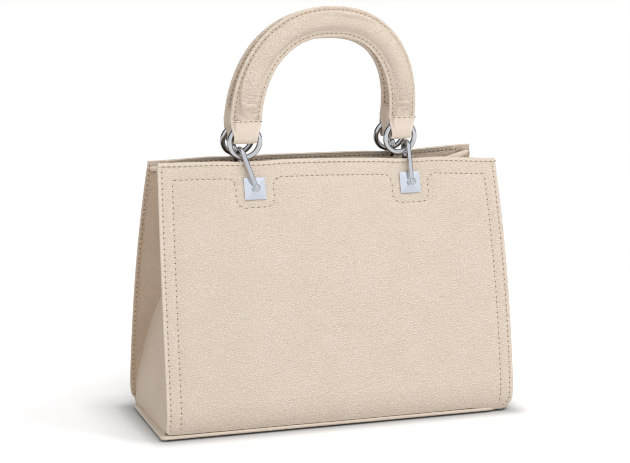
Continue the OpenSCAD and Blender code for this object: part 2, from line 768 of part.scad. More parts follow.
panel_shell();  // front_panel
to_back() panel_shell();  // back_panel
board_shell();  // front_board
to_back() board_shell();  // back_board
facing_shell();  // front_facing
to_back() facing_shell();  // back_facing
lining_shell();  // front_lining
to_back() lining_shell();  // back_lining
binding_shell();  // front_binding
to_back() binding_shell();  // back_binding
gusset();  // left_gusset
to_right() gusset();  // right_gusset
gusset_lining();  // left_gusset_lining
to_right() gusset_lining();  // right_gusset_lining
gusset_binding();  // left_gusset_binding
to_right() gusset_binding();  // right_gusset_binding
base_panel();
base_board();
base_lining();
base_studs();
stud_washers();
snap_socket();
snap_stud();
pocket_bag();
zip_tape();
zip_slider();
plate(-1);  // front_left_plate
plate(1);  // front_right_plate
to_back() plate(-1);  // back_left_plate
to_back() plate(1);  // back_right_plate
rivet(-1);  // front_left_rivet
rivet(1);  // front_right_rivet
to_back() rivet(-1);  // back_left_rivet
to_back() rivet(1);  // back_right_rivet
washer(-1);  // front_left_washer
washer(1);  // front_right_washer
to_back() washer(-1);  // back_left_washer
to_back() washer(1);  // back_right_washer
link(-1, swing_front_left);  // front_left_link
link(1, swing_front_right);  // front_right_link
to_back() link(-1, swing_back_left);  // back_left_link
to_back() link(1, swing_back_right);  // back_right_link
ring(-1, front_lean, front_slip);  // front_left_ring
ring(1, front_lean, front_slip);  // front_right_ring
to_back() ring(-1, -back_lean, back_slip);  // back_left_ring
to_back() ring(1, -back_lean, back_slip);  // back_right_ring
cover(front_lean, front_slip);  // front_handle_cover
core(front_lean, front_slip);  // front_handle_core
backing(front_lean, front_slip);  // front_handle_backing
tab(-1, front_lean, front_slip);  // front_left_tab
tab(1, front_lean, front_slip);  // front_right_tab
to_back() cover(-back_lean, back_slip);  // back_handle_cover
to_back() core(-back_lean, back_slip);  // back_handle_core
to_back() backing(-back_lean, back_slip);  // back_handle_backing
to_back() tab(-1, -back_lean, back_slip);  // back_left_tab
to_back() tab(1, -back_lean, back_slip);  // back_right_tab
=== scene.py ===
"""Top handle bag in pebbled leather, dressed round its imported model.

The sections follow the bag as it is put together: panels, what backs them,
gussets, base, closure and pocket, handles, and the metal that carries them.
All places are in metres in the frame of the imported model.
"""

import math

import bpy
import numpy as np
from mathutils import Matrix, Vector


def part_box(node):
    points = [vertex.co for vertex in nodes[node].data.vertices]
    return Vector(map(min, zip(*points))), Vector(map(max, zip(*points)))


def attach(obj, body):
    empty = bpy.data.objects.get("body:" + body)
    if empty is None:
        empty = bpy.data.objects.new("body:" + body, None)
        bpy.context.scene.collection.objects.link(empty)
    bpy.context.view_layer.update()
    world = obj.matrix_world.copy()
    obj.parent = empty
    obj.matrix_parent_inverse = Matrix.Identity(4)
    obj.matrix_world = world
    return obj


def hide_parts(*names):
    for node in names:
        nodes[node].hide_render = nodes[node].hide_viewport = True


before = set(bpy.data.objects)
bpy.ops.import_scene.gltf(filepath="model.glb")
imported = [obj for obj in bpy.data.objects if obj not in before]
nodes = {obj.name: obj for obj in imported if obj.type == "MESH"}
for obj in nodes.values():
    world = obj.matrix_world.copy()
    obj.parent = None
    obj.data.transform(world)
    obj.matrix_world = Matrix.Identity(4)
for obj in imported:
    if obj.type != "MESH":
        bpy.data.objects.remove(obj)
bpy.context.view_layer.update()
mm = 0.001

# Camera and studio: a long lens a little above the bag and left of its front, on a
# white table that runs out of sight. Soft boxes hang over the front and the right
# side, and bands of light and dark all round show in nothing but the metal.
picture_w = 630
focal_px = 1726.882
view_turn, view_rise, view_roll = (math.radians(a) for a in (-19.912, 9.312, 0.379))
view_dist, view_across, view_up = 1.556856, -0.00517, 0.159456

back = Vector((math.sin(view_turn) * math.cos(view_rise),
               -math.cos(view_turn) * math.cos(view_rise), math.sin(view_rise)))
level = Vector((math.cos(view_turn), math.sin(view_turn), 0))
rise = back.cross(level)
across = math.cos(view_roll) * level + math.sin(view_roll) * rise
upward = -math.sin(view_roll) * level + math.cos(view_roll) * rise


def placed(name, data):
    """A new object in the scene."""
    made = bpy.data.objects.new(name, data)
    bpy.context.scene.collection.objects.link(made)
    return made


camera = placed("camera", bpy.data.cameras.new("camera"))
bpy.context.scene.camera = camera
camera.data.sensor_width = 36
camera.data.lens = camera.data.sensor_width * focal_px / picture_w
camera.data.clip_end = 100
eye = back * view_dist + across * view_across + upward * view_up
camera.matrix_world = Matrix((
    (across.x, upward.x, back.x, eye.x),
    (across.y, upward.y, back.y, eye.y),
    (across.z, upward.z, back.z, eye.z),
    (0, 0, 0, 1)))


def join(tree, value, socket):
    """A socket linked to another one, or set to a plain value."""
    if isinstance(value, bpy.types.NodeSocket):
        tree.links.new(value, socket)
    else:
        socket.default_value = value


def add(tree, kind, *values, settings=None, **named):
    """A node with its inputs set or linked, by place or by name."""
    made = tree.nodes.new(kind)
    for key, value in (settings or {}).items():
        setattr(made, key, value)
    for socket, value in zip(list(made.inputs), values):
        join(tree, value, socket)
    for key, value in named.items():
        join(tree, value, made.inputs[key.replace("_", " ")])
    return made


def math_of(tree, operation, *values):
    return add(tree, "ShaderNodeMath", *values, settings={"operation": operation}).outputs[0]


def times(tree, first, second):
    return math_of(tree, "MULTIPLY", first, second)


def one_minus(tree, value):
    return math_of(tree, "SUBTRACT", 1.0, value)


def vector_of(tree, operation, *values, **named):
    """The vector that an operation gives, or the number of a length or a dot product."""
    made = add(tree, "ShaderNodeVectorMath", *values, settings={"operation": operation}, **named)
    return made.outputs["Value" if operation in ("LENGTH", "DOT_PRODUCT") else "Vector"]


def smooth_step(tree, value, low, high):
    """0 below low, 1 above high, eased in between."""
    made = add(tree, "ShaderNodeMapRange", value, low, high, 0.0, 1.0,
               settings={"interpolation_type": "SMOOTHSTEP"})
    return made.outputs[0]


def linear(red, green, blue):
    """A colour written in 0 to 255 as the shader's linear one."""
    return tuple((c / 255 / 12.92) if c <= 10 else ((c / 255 + 0.055) / 1.055) ** 2.4
                 for c in (red, green, blue)) + (1.0,)


def blank_material(name):
    made = bpy.data.materials.new(name)
    made.use_nodes = True
    made.node_tree.nodes.clear()
    return made, made.node_tree


def own_place(tree):
    """Where a point lies in its object's own frame."""
    return add(tree, "ShaderNodeTexCoord").outputs["Object"]


def seen_directly(tree):
    """1 for what the camera sees itself, and the light path that tells."""
    path = add(tree, "ShaderNodeLightPath").outputs
    return math_of(tree, "MAXIMUM", path["Is Camera Ray"], path["Is Transmission Ray"]), path


white = (1.0, 1.0, 1.0, 1.0)
world = bpy.data.worlds.new("studio")
bpy.context.scene.world = world
world.use_nodes = True
tree = world.node_tree
tree.nodes.clear()
fill_level = 0.66
# What the metal mirrors, from in front of the bag round to behind it
tent_bands = ((0.0, 0.95), (0.28, 1.1), (0.40, 0.85), (0.48, 0.34),
              (0.56, 0.06), (0.80, 0.03), (0.90, 0.25), (0.97, 0.05))
tent_tint = (0.95, 0.98, 1.03)
tent_gain, gain_upward, gain_right = 0.88, 0.24, -0.10
direct, path = seen_directly(tree)
soft_fill = add(tree, "ShaderNodeBackground", white, fill_level)
white_back = add(tree, "ShaderNodeBackground", white, 1.0)
facing = add(tree, "ShaderNodeSeparateXYZ", add(tree, "ShaderNodeTexCoord").outputs["Generated"]).outputs
tent = add(tree, "ShaderNodeValToRGB", math_of(tree, "MULTIPLY_ADD", facing["Y"], 0.5, 0.5))
bands = tent.color_ramp.elements
while len(bands) < len(tent_bands):
    bands.new(1.0)
for band, (spot, strength) in zip(bands, tent_bands):
    band.position = spot
    band.color = (*(strength * share for share in tent_tint), 1.0)
gain = math_of(tree, "MULTIPLY_ADD", facing["Z"], gain_upward, tent_gain)
gain = math_of(tree, "MULTIPLY_ADD", facing["X"], gain_right, gain)
tent_back = add(tree, "ShaderNodeBackground", tent.outputs[0], gain)
mixed = add(tree, "ShaderNodeMixShader", path["Is Glossy Ray"], soft_fill.outputs[0], tent_back.outputs[0])
mixed = add(tree, "ShaderNodeMixShader", direct, mixed.outputs[0], white_back.outputs[0])
add(tree, "ShaderNodeOutputWorld", mixed.outputs[0])

table_half, table_color, table_glow = 30.0, 0.9, 0.22
# The table turns plain white far from the bag; close to it its own shadow stays,
# and round the footprint painted shadow darkens it: its glow fades out and its colour darkens
white_from, white_to = 0.42, 0.95
footprint, shadow_w = (0.158, 0.058, 0.0), 0.06
contact_shadow_w, contact_shadow_share = 0.022, 0.6
mesh = bpy.data.meshes.new("table")
mesh.from_pydata([(x, y, 0) for x, y in ((-table_half, -table_half), (table_half, -table_half),
                                         (table_half, table_half), (-table_half, table_half))],
                 [], [(0, 1, 2, 3)])
table = placed("table", mesh)
material, tree = blank_material("white_table")
place = own_place(tree)
direct = seen_directly(tree)[0]
beside = vector_of(tree, "SUBTRACT", vector_of(tree, "ABSOLUTE", place), footprint)
beside = vector_of(tree, "LENGTH", vector_of(tree, "MAXIMUM", beside, (0.0, 0.0, 0.0)))
# Painted contact shadow: the table's own colour darkens towards the bag's footprint
painted_contact_shadow = math_of(tree, "MULTIPLY_ADD", smooth_step(tree, beside, 0.0, contact_shadow_w),
                  (1 - contact_shadow_share) * table_color, contact_shadow_share * table_color)
lit = add(tree, "ShaderNodeBsdfDiffuse", painted_contact_shadow)
# Painted shadow: the glow fades out near the footprint, leaving a grey halo round the bag
clear = times(tree, direct, smooth_step(tree, beside, 0.0, shadow_w))
glow = add(tree, "ShaderNodeEmission", white, times(tree, clear, table_glow))
near = add(tree, "ShaderNodeAddShader", lit.outputs[0], glow.outputs[0])
away = vector_of(tree, "LENGTH", place)
far = times(tree, direct, smooth_step(tree, away, white_from, white_to))
plain_white = add(tree, "ShaderNodeEmission", white, 1.0)
mixed = add(tree, "ShaderNodeMixShader", far, near.outputs[0], plain_white.outputs[0])
add(tree, "ShaderNodeOutputMaterial", mixed.outputs[0])
table.data.materials.append(material)


def soft_light(name, place, size, power):
    """A square soft box turned to the bag, which the metal doesn't mirror."""
    data = bpy.data.lights.new(name, "AREA")
    data.energy, data.size = power, size
    lamp = placed(name, data)
    lamp.location = place
    lamp.rotation_euler = (lamp_aim - Vector(place)).to_track_quat("-Z", "Y").to_euler()
    lamp.visible_glossy = False


lamp_aim = Vector((0.0, 0.0, 0.12))
soft_light("key_box", (0.0, -1.75, 2.25), 1.3, 23.5)
soft_light("right_box", (1.25, -0.8, 2.0), 0.9, 16)
bpy.context.scene.view_settings.view_transform = "Standard"
bpy.context.scene.cycles.filter_width = 1.0

# Pebbled leather: split hide with a thin coat, embossed with a small soft
# grain. The coat is paler where the hide is turned over an edge, partly from wear and
# partly as painted highlight; painted shade darkens the creases of the grain and the
# sewn rows; and the coat is smoother where it is taut.
def group_of(name, inputs, outputs):
    """A shader group with its sockets, and the two nodes that hold them."""
    made = bpy.data.node_groups.new(name, "ShaderNodeTree")
    for label, value in inputs.items():
        vector = value is None
        socket = made.interface.new_socket(
            label, in_out="INPUT", socket_type="NodeSocketVector" if vector else "NodeSocketFloat")
        if not vector:
            socket.default_value = value
    for label in outputs:
        made.interface.new_socket(label, in_out="OUTPUT", socket_type="NodeSocketFloat")
    return made, made.nodes.new("NodeGroupInput"), made.nodes.new("NodeGroupOutput")


def give_out(made, out, **values):
    for label, value in values.items():
        made.links.new(value, out.inputs[label])


def noise(tree, vector, scale, detail, **more):
    return add(tree, "ShaderNodeTexNoise", Vector=vector, Scale=scale, Detail=detail, **more).outputs["Fac"]


def bump_of(tree, height, distance, strength=1.0):
    return add(tree, "ShaderNodeBump", Strength=strength, Distance=distance, Height=height).outputs[0]


def surface(tree, **inputs):
    """The shader at the end of a material."""
    skin = add(tree, "ShaderNodeBsdfPrincipled", **inputs)
    add(tree, "ShaderNodeOutputMaterial", skin.outputs[0])


def embossed_grain():
    """Pebbles: cells of two sizes with soft creases between them, on a pulled field."""
    made, given, out = group_of("embossed_grain", {"Place": None, "Pebble": 0.0014, "Pull": 0.45},
                                ("Height", "Crease", "Tone"))
    place, pebble, pull = given.outputs["Place"], given.outputs["Pebble"], given.outputs["Pull"]
    # The cells are drawn out along ripples that run nearly level over the panels
    level_ripple, through, upright = (0.97, 0.10, -0.22), (-0.10, 0.99, 0.05), (0.22, 0.05, 0.97)
    parts = [vector_of(made, "DOT_PRODUCT", place, axis) for axis in (level_ripple, through, upright)]
    drawn = add(made, "ShaderNodeCombineXYZ", times(made, parts[0], 0.42),
                times(made, parts[1], 0.6), parts[2])
    wander = add(made, "ShaderNodeTexNoise", Vector=place, Scale=260.0, Detail=3.0).outputs["Color"]
    pulled = vector_of(made, "SUBTRACT", wander, (0.5, 0.5, 0.5))
    pulled = vector_of(made, "SCALE", pulled, Scale=times(made, pebble, pull))
    spot = vector_of(made, "ADD", drawn.outputs[0], pulled)
    rate = math_of(made, "DIVIDE", 1.0, pebble)
    big, fine = (add(made, "ShaderNodeTexVoronoi", Vector=spot, Scale=scale, Randomness=looseness,
                     settings={"feature": "DISTANCE_TO_EDGE"}).outputs["Distance"]
                 for scale, looseness in ((rate, 0.8), (times(made, rate, 2.3), 1.0)))
    height = math_of(made, "ADD", times(made, smooth_step(made, big, 0.0, 0.36), 0.8),
                     times(made, smooth_step(made, fine, 0.0, 0.3), 0.2))
    cloud = noise(made, place, 26.0, 5.0, Roughness=0.62)
    give_out(made, out, Height=height, Crease=one_minus(made, smooth_step(made, big, 0.02, 0.24)),
             Tone=smooth_step(made, cloud, 0.25, 0.75))
    return made


def sewn_channel():
    """From the distance to the nearest sewn row: how deep the thread has pulled the hide in, and how much
    painted shade lies there.
    """
    made, given, out = group_of("sewn_channel", {"Distance": 1.0, "Half width": 0.0009},
                                ("Depth", "Shade"))
    share = math_of(made, "DIVIDE", math_of(made, "ABSOLUTE", given.outputs["Distance"]),
                    given.outputs["Half width"])
    give_out(made, out, Depth=one_minus(made, smooth_step(made, share, 0.0, 1.6)),
             Shade=one_minus(made, smooth_step(made, share, 0.2, 1.3)))
    return made


grain_group, channel_group = embossed_grain(), sewn_channel()
hide_light, hide_mid = linear(229, 215, 200), linear(224, 209, 193)
# Colours of painted shade, for the creases of the grain and along the sewn rows
crease_shade_color, sewn_row_shade_color = linear(205, 187, 168), linear(210, 192, 173)


def blend_color(tree, share, first, second, way="MIX"):
    """Two colours mixed, or the first dyed with the second."""
    made = add(tree, "ShaderNodeMix", settings={"data_type": "RGBA", "blend_type": way})
    for value, socket in ((share, "Factor"), (first, 6), (second, 7)):
        join(tree, value, made.inputs[socket])
    return made.outputs[2]


def attribute(tree, name):
    return add(tree, "ShaderNodeAttribute", settings={"attribute_name": name}).outputs["Fac"]


def leather(name, relief=0.00043, painted_shading=(1.0, 1.0, 1.0), taut_painted_shading=(1.0, 1.0, 1.0)):
    """Leather of one cut: depth of its grain, and the painted light and shade multiplied into its colour
    where it lies loose and where it is taut.
    """
    made, tree = blank_material(name)
    place = own_place(tree)
    grain = add(tree, "ShaderNodeGroup", settings={"node_tree": grain_group}, Place=place,
                Pebble=0.0014).outputs
    channel = add(tree, "ShaderNodeGroup", settings={"node_tree": channel_group},
                  Distance=attribute(tree, "sewn")).outputs
    # Turned edges are paler: partly worn coat, partly painted highlight
    turned = one_minus(tree, smooth_step(tree, attribute(tree, "rim"), 0.0004, 0.0022))
    taut = attribute(tree, "taut")
    tone = blend_color(tree, grain["Tone"], hide_mid, hide_light)
    # Painted shade in the creases of the grain, less where the hide is taut
    painted_crease_shade = times(tree, grain["Crease"], math_of(tree, "SUBTRACT", 0.55, times(tree, taut, 0.5)))
    tone = blend_color(tree, painted_crease_shade, tone, crease_shade_color)
    # Painted shade along the sewn rows
    tone = blend_color(tree, times(tree, channel["Shade"], 0.12), tone, sewn_row_shade_color)
    tone = blend_color(tree, times(tree, turned, 0.6), tone, hide_light)
    shading_factor = blend_color(tree, taut, (*painted_shading, 1.0), (*taut_painted_shading, 1.0))
    tone = blend_color(tree, 1.0, tone, shading_factor, way="MULTIPLY")
    grained = times(tree, grain["Height"], one_minus(tree, times(tree, taut, 0.85)))
    height = math_of(tree, "SUBTRACT", grained, times(tree, channel["Depth"], 0.15))
    # Wrinkles across a strap, where it is bent in use: sunk into the bump, with painted shade in them
    folds = noise(tree, vector_of(tree, "MULTIPLY", place, (70.0, 70.0, 430.0)), 1.0, 2.0, Distortion=0.5)
    folds = math_of(tree, "ABSOLUTE", math_of(tree, "SUBTRACT", folds, 0.5))
    folds = times(tree, one_minus(tree, smooth_step(tree, folds, 0.0, 0.07)), attribute(tree, "worn"))
    tone = blend_color(tree, times(tree, folds, 0.2), tone, crease_shade_color)
    height = math_of(tree, "SUBTRACT", height, times(tree, folds, 0.55))
    gloss = add(tree, "ShaderNodeMapRange", grain["Height"], 0.0, 1.0, 0.62, 0.46).outputs[0]
    surface(tree, Base_Color=tone, Roughness=gloss, Normal=bump_of(tree, height, relief),
            Specular_IOR_Level=0.42)
    return made


bag_leather = leather("pebbled_leather")

# Panels: front and back, 1.6 mm leather over a board, part of one large
# cylinder each, so that they stand steep at the foot and lean in at the mouth.
# Two rows of stitches run round each; the inner one dips round both plates.
bow_top, foot_z, base_d, mouth_d = 228 * mm, 5 * mm, 128 * mm, 44 * mm
bag_top = bow_top + 1.8 * mm
foot_half, top_half, side_curve = 160 * mm, 154 * mm, 2.5
leather_t, board_t, facing_t, lining_t = 1.6 * mm, 0.9 * mm, 1.0 * mm, 0.5 * mm
turn_h, turn_r, lean_growth = 26 * mm, 43 * mm, math.radians(8)
rise_h = bag_top - foot_z
turn_z = foot_z + turn_h
bow_in, bow_h = (base_d - mouth_d) / 2, bow_top - turn_z
foot_lean = math.atan2(bow_in, bow_h) - lean_growth / 2
panel_r = math.hypot(bow_in, bow_h) / (2 * math.sin(lean_growth / 2))
arc_y = panel_r * math.cos(foot_lean) - base_d / 2
arc_z = turn_z - panel_r * math.sin(foot_lean)
turn_y = turn_r * math.cos(foot_lean) - base_d / 2
turn_mid = turn_z - turn_r * math.sin(foot_lean)
# The mouth isn't even: how far each upper corner stands out and up, left then right
held_x = 84 * mm
corner_out = (-4.6 * mm, 6.0 * mm)
corner_up = {"front": (0.0, -2.4 * mm), "back": (-1.7 * mm, 2.2 * mm)}
# Towards the right the front's lip sags, and so does its lower corner
mouth_sag, sag_from, sag_run, sag_out_share = {"front": 2.2 * mm, "back": 0.0}, -30 * mm, 110 * mm, 0.23
foot_sag, drop_from, drop_run, drop_h = {"front": 3.2 * mm, "back": 0.0}, 118 * mm, 36 * mm, 40 * mm
# The lip is pressed down a little where the rings lie on it with a handle folded out
ring_dent, dent_x, dent_flat, dent_end = 0.85 * mm, 72 * mm, 8 * mm, 30 * mm


def eased(x):
    x = np.clip(x, 0, 1)
    return x * x * (3 - 2 * x)


def half_depth(z, t):
    """From the middle of the bag to a panel's layer: a large bow, and a small one at the turned foot."""
    large = np.sqrt(np.maximum(0, (panel_r - t) ** 2 - (z - arc_z) ** 2)) - arc_y
    small = np.sqrt(np.maximum(0, (turn_r - t) ** 2 - (z - turn_mid) ** 2)) - turn_y
    return np.where(z < turn_z - t * math.sin(foot_lean), small, large)


def half_width(z):
    return foot_half - (foot_half - top_half) * np.clip((z - foot_z) / rise_h, 0, 1) ** side_curve


def mouth_shift(side, x, z):
    """How far the uneven mouth carries a point of that panel out and up."""
    share = np.clip((z - foot_z) / rise_h, 0, 1.05) ** 2
    end = eased((np.abs(x) - held_x) / (top_half - held_x)) * share
    out = np.where(x > 0, corner_out[1], corner_out[0]) * end
    up = np.where(x > 0, corner_up[side][1], corner_up[side][0]) * end
    sag = mouth_sag[side] * eased((x - sag_from) / sag_run) * share
    drop = foot_sag[side] * eased((x - drop_from) / drop_run) * (1 - eased((z - foot_z) / drop_h))
    beside_dent = np.abs(np.abs(x) - dent_x) - dent_flat
    dent = ring_dent * (1 - eased(beside_dent / (dent_end - dent_flat))) * share
    return out + sag_out_share * sag, up - sag - drop - dent


def on_panel(side, x, z, t):
    """Points of a panel's layer at depth t below its outer face."""
    x, z, t = np.broadcast_arrays(np.asarray(x, float), z, t)
    out, up = mouth_shift(side, x, z)
    y = half_depth(z, t) + out
    return np.stack([x, -y if side == "front" else y, z + up], -1)


def grid_normals(points):
    along = np.gradient(points, axis=1)
    up = np.gradient(points, axis=0)
    normals = np.cross(along, up)
    return normals / np.maximum(np.linalg.norm(normals, axis=-1, keepdims=True), 1e-12)


def reach_in(points):
    """Distance of each grid point from the nearest border, measured along the sheet."""
    found = []
    for axis in (0, 1):
        steps = np.linalg.norm(np.diff(points, axis=axis), axis=-1)
        run = np.cumsum(np.insert(steps, 0, 0, axis=axis), axis=axis)
        total = np.take(run, [-1], axis=axis)
        found += [run, total - run]
    return np.min(found, axis=0)


def mark(mesh, **marks):
    """Numbers kept on the points of a mesh, which its material reads by name."""
    for key, values in marks.items():
        mesh.attributes.new(key, "FLOAT", "POINT").data.foreach_set("value", values.astype(np.float32))


def sheet_piece(name, points, thick, material, sewn=None, taut=None, ring_n=5):
    """A closed sheet from a grid of points on its outer face (columns to the right and
    rows upwards as seen from outside), with a rounded rim all round."""
    rows, cols = points.shape[:2]
    normals = grid_normals(points)
    thick = np.broadcast_to(thick, (rows, cols))[..., None]
    inner = points - normals * thick
    loop = ([(0, i) for i in range(cols)] + [(j, cols - 1) for j in range(1, rows)]
            + [(rows - 1, i) for i in range(cols - 2, -1, -1)] + [(j, 0) for j in range(rows - 2, 0, -1)])
    lj, li = np.array(loop).T
    nj, ni = np.clip(lj, 1, rows - 2), np.clip(li, 1, cols - 2)
    outward = points[lj, li] - points[nj, ni]
    normal = normals[lj, li]
    outward -= normal * np.sum(outward * normal, -1, keepdims=True)
    outward /= np.maximum(np.linalg.norm(outward, axis=-1, keepdims=True), 1e-12)
    half = thick[lj, li] / 2
    rings = []
    for k in range(1, ring_n):
        turn = math.pi * k / ring_n
        rings.append(points[lj, li] - normal * half * (1 - math.cos(turn)) + outward * half * math.sin(turn))
    count, n = rows * cols, len(loop)
    verts = np.concatenate([points.reshape(-1, 3)] + rings + [inner.reshape(-1, 3)])
    index = np.arange(count).reshape(rows, cols)
    quads = np.stack([index[:-1, :-1], index[:-1, 1:], index[1:, 1:], index[1:, :-1]], -1).reshape(-1, 4)
    below = count + (ring_n - 1) * n
    chain = [index[lj, li]] + [count + k * n + np.arange(n) for k in range(ring_n - 1)]
    chain.append(below + index[lj, li])
    bands = [np.stack([a, b, np.roll(b, -1), np.roll(a, -1)], -1) for a, b in zip(chain, chain[1:])]
    faces = np.concatenate([quads] + bands + [quads[:, ::-1] + below])
    mesh = bpy.data.meshes.new(name)
    mesh.from_pydata(verts.tolist(), [], faces.tolist())
    reach, edge = reach_in(points).reshape(-1), np.zeros(n * (ring_n - 1))
    marks = {"rim": np.concatenate([reach, edge, reach])}
    far = np.ones(count)
    for key, values, rest in (("sewn", sewn, 1.0), ("taut", taut, 0.0)):
        face = far * rest if values is None else np.broadcast_to(values, (rows, cols)).reshape(-1)
        marks[key] = np.concatenate([face, np.full(len(edge), rest), far * rest])
    mark(mesh, **marks)
    run_u = np.cumsum(np.insert(np.linalg.norm(np.diff(points, axis=1), axis=-1), 0, 0, axis=1), axis=1)
    run_v = np.cumsum(np.insert(np.linalg.norm(np.diff(points, axis=0), axis=-1), 0, 0, axis=0), axis=0)
    run_u -= run_u[:, [cols // 2]]
    flat = np.stack([run_u, run_v], -1).reshape(-1, 2)
    uv = np.concatenate([flat] + [flat[index[lj, li]]] * (ring_n - 1) + [flat])
    corners = np.zeros(len(mesh.loops), np.int32)
    mesh.loops.foreach_get("vertex_index", corners)
    mesh.uv_layers.new(name="cut").data.foreach_set("uv", uv[corners].astype(np.float32).ravel())
    return finished(name, mesh, material)


def finished(name, mesh, material):
    """The smooth mesh with its material, as an object in the scene."""
    mesh.polygons.foreach_set("use_smooth", [True] * len(mesh.polygons))
    mesh.materials.append(material)
    return placed(name, mesh)


# Where points of the mesh lie beside a sewn row, so that its channel has a shape
beside_row = [offset * mm for offset in (-1.6, -0.9, -0.45, 0, 0.45, 0.9, 1.6)]


def places_with(low, high, step, rows):
    """Even steps from low to high, with closer ones round the sewn rows."""
    fixed = [row + offset for row in rows for offset in beside_row]
    plain = [p for p in np.linspace(low, high, int((high - low) / step) + 1)
             if all(abs(p - f) > 0.7 * mm for f in fixed)]
    return np.array(sorted([p for p in fixed if low < p < high] + plain))


plate_x, plate_z, plate_side = 71.7 * mm, 206.5 * mm, 18.8 * mm
edge_row, inner_row, top_row, inner_row_down = 3.5 * mm, 12.5 * mm, 2.9 * mm, 14.8 * mm
dip_half, dip_down, dip_r = 17 * mm, 25 * mm, 7 * mm
mouth_lean = math.asin((bag_top - arc_z) / panel_r)
top_row_z = bag_top - top_row * math.cos(mouth_lean)
inner_row_z = bag_top - inner_row_down * math.cos(mouth_lean)
dip_z = inner_row_z - dip_down * math.cos(mouth_lean)
rows_foot, row_end = foot_z + 2.6 * mm, 2.6 * mm
foot_round = {"front": (5 * mm, 11 * mm), "back": (10 * mm, 10 * mm)}


def edge_at(side, z, right):
    """Half width of a panel at a height, drawn in round its lower corner."""
    r = np.where(right, foot_round[side][1], foot_round[side][0])
    low = np.clip((foot_z + r - z) / r, 0, 1)
    return half_width(z) - r * (1 - np.sqrt(np.maximum(0, 1 - low ** 2)))


def side_run(side, inset, z0, z1, sign, n=60):
    """A row up one side, which follows the lower corner."""
    r = foot_round[side][1 if sign > 0 else 0] - inset
    path = []
    for z in np.linspace(z0, z1, n):
        down = np.clip(foot_z + inset + r - z, 0, max(r, 0) * 0.99)
        turn_in = r - math.sqrt(r * r - down * down) if r > 0 else 0
        path.append((sign * (half_width(z) - inset - turn_in), z))
    return path


def dip_arc(x, z, start, end, n=6):
    """A rounded corner of the row that dips round a plate."""
    turns = [math.radians(start + (end - start) * k / n) for k in range(n + 1)]
    return [(x + dip_r * math.cos(a), z + dip_r * math.sin(a)) for a in turns]


def row_paths(side):
    """Sewn rows as runs: those that go up the panel, and those that go across it."""
    uprights, levels = [], []
    for sign in (-1, 1):
        uprights.append(side_run(side, edge_row, rows_foot, top_row_z - row_end, sign))
        uprights.append(side_run(side, inner_row, rows_foot + 1 * mm, inner_row_z - 2.4 * mm, sign))
    top_half_row, inner_half_row = half_width(top_row_z) - row_end, half_width(inner_row_z) - inner_row
    levels.append([(-top_half_row, top_row_z), (top_half_row, top_row_z)])
    run = [(-inner_half_row, inner_row_z)]
    high, low = inner_row_z - dip_r, dip_z + dip_r
    for x in (-plate_x, plate_x):
        left, right = x - dip_half, x + dip_half
        levels.append(run + dip_arc(left - dip_r, high, 90, 43))
        uprights.append(dip_arc(left - dip_r, high, 38, 0) + dip_arc(left + dip_r, low, 180, 218))
        levels.append(dip_arc(left + dip_r, low, 223, 270) + dip_arc(right - dip_r, low, 270, 317))
        uprights.append(dip_arc(right - dip_r, low, 322, 360) + dip_arc(right + dip_r, high, 180, 142))
        run = dip_arc(right + dip_r, high, 137, 90)
    levels.append(run + [(inner_half_row, inner_row_z)])
    return [np.array(path) for path in uprights], [np.array(path) for path in levels]


panel_rows = {side: row_paths(side) for side in ("front", "back")}


def row_distance(x, z, paths):
    """Distance from points of the panel to the nearest sewn row."""
    best = np.full(x.shape, 1.0)
    for path in paths:
        for (ax, az), (bx, bz) in zip(path[:-1], path[1:]):
            dx, dz = bx - ax, bz - az
            size = dx * dx + dz * dz
            if size < 1e-14:
                continue
            share = np.clip(((x - ax) * dx + (z - az) * dz) / size, 0, 1)
            best = np.minimum(best, np.hypot(x - ax - share * dx, z - az - share * dz))
    return best


# Depth and breadth of the channel under the thread and of the hollow beside it, how full
# the hide stands away from the rows, and two slow waves over the whole panel
channel_deep, channel_broad, hollow_deep, hollow_broad = 0.10 * mm, 0.9 * mm, 0.16 * mm, 2.8 * mm
full_inside, full_outside, full_run, plate_clear = 0.5, 0.25, 7 * mm, 6 * mm


def panel_relief(x, z, sewn):
    """Height of the hide over its flat shape: pulled in at the rows, full between them."""
    pulled = (-channel_deep * np.exp(-(sewn / channel_broad) ** 2)
              - hollow_deep * np.exp(-(sewn / hollow_broad) ** 2))
    inside = (np.abs(x) < half_width(z) - inner_row) & (z < inner_row_z)
    full = np.where(inside, full_inside, full_outside) * mm * eased(sewn / full_run)
    wave = (0.16 * mm * np.sin(x / (31 * mm) + 1.3) * np.cos(z / (24 * mm) + 0.4)
            + 0.12 * mm * np.sin(x / (17 * mm) - z / (29 * mm) + 2.1))
    near = np.maximum(np.abs(np.abs(x) - plate_x), np.abs(z - plate_z)) - plate_side / 2
    return pulled + (full + wave) * eased(near / plate_clear)


border, corner_r, panel_edge, hold = 20 * mm, 12 * mm, leather_t / 2, 100 * mm
border_in = np.array([0.8, 1.3, 1.9, 2.5, 3.05, 3.5, 3.95, 4.6, 5.6, 6.9, 8.3, 9.8, 11.1, 12.05, 12.5,
                      12.95, 14.0, 15.6, 17.6, 20.0]) * mm


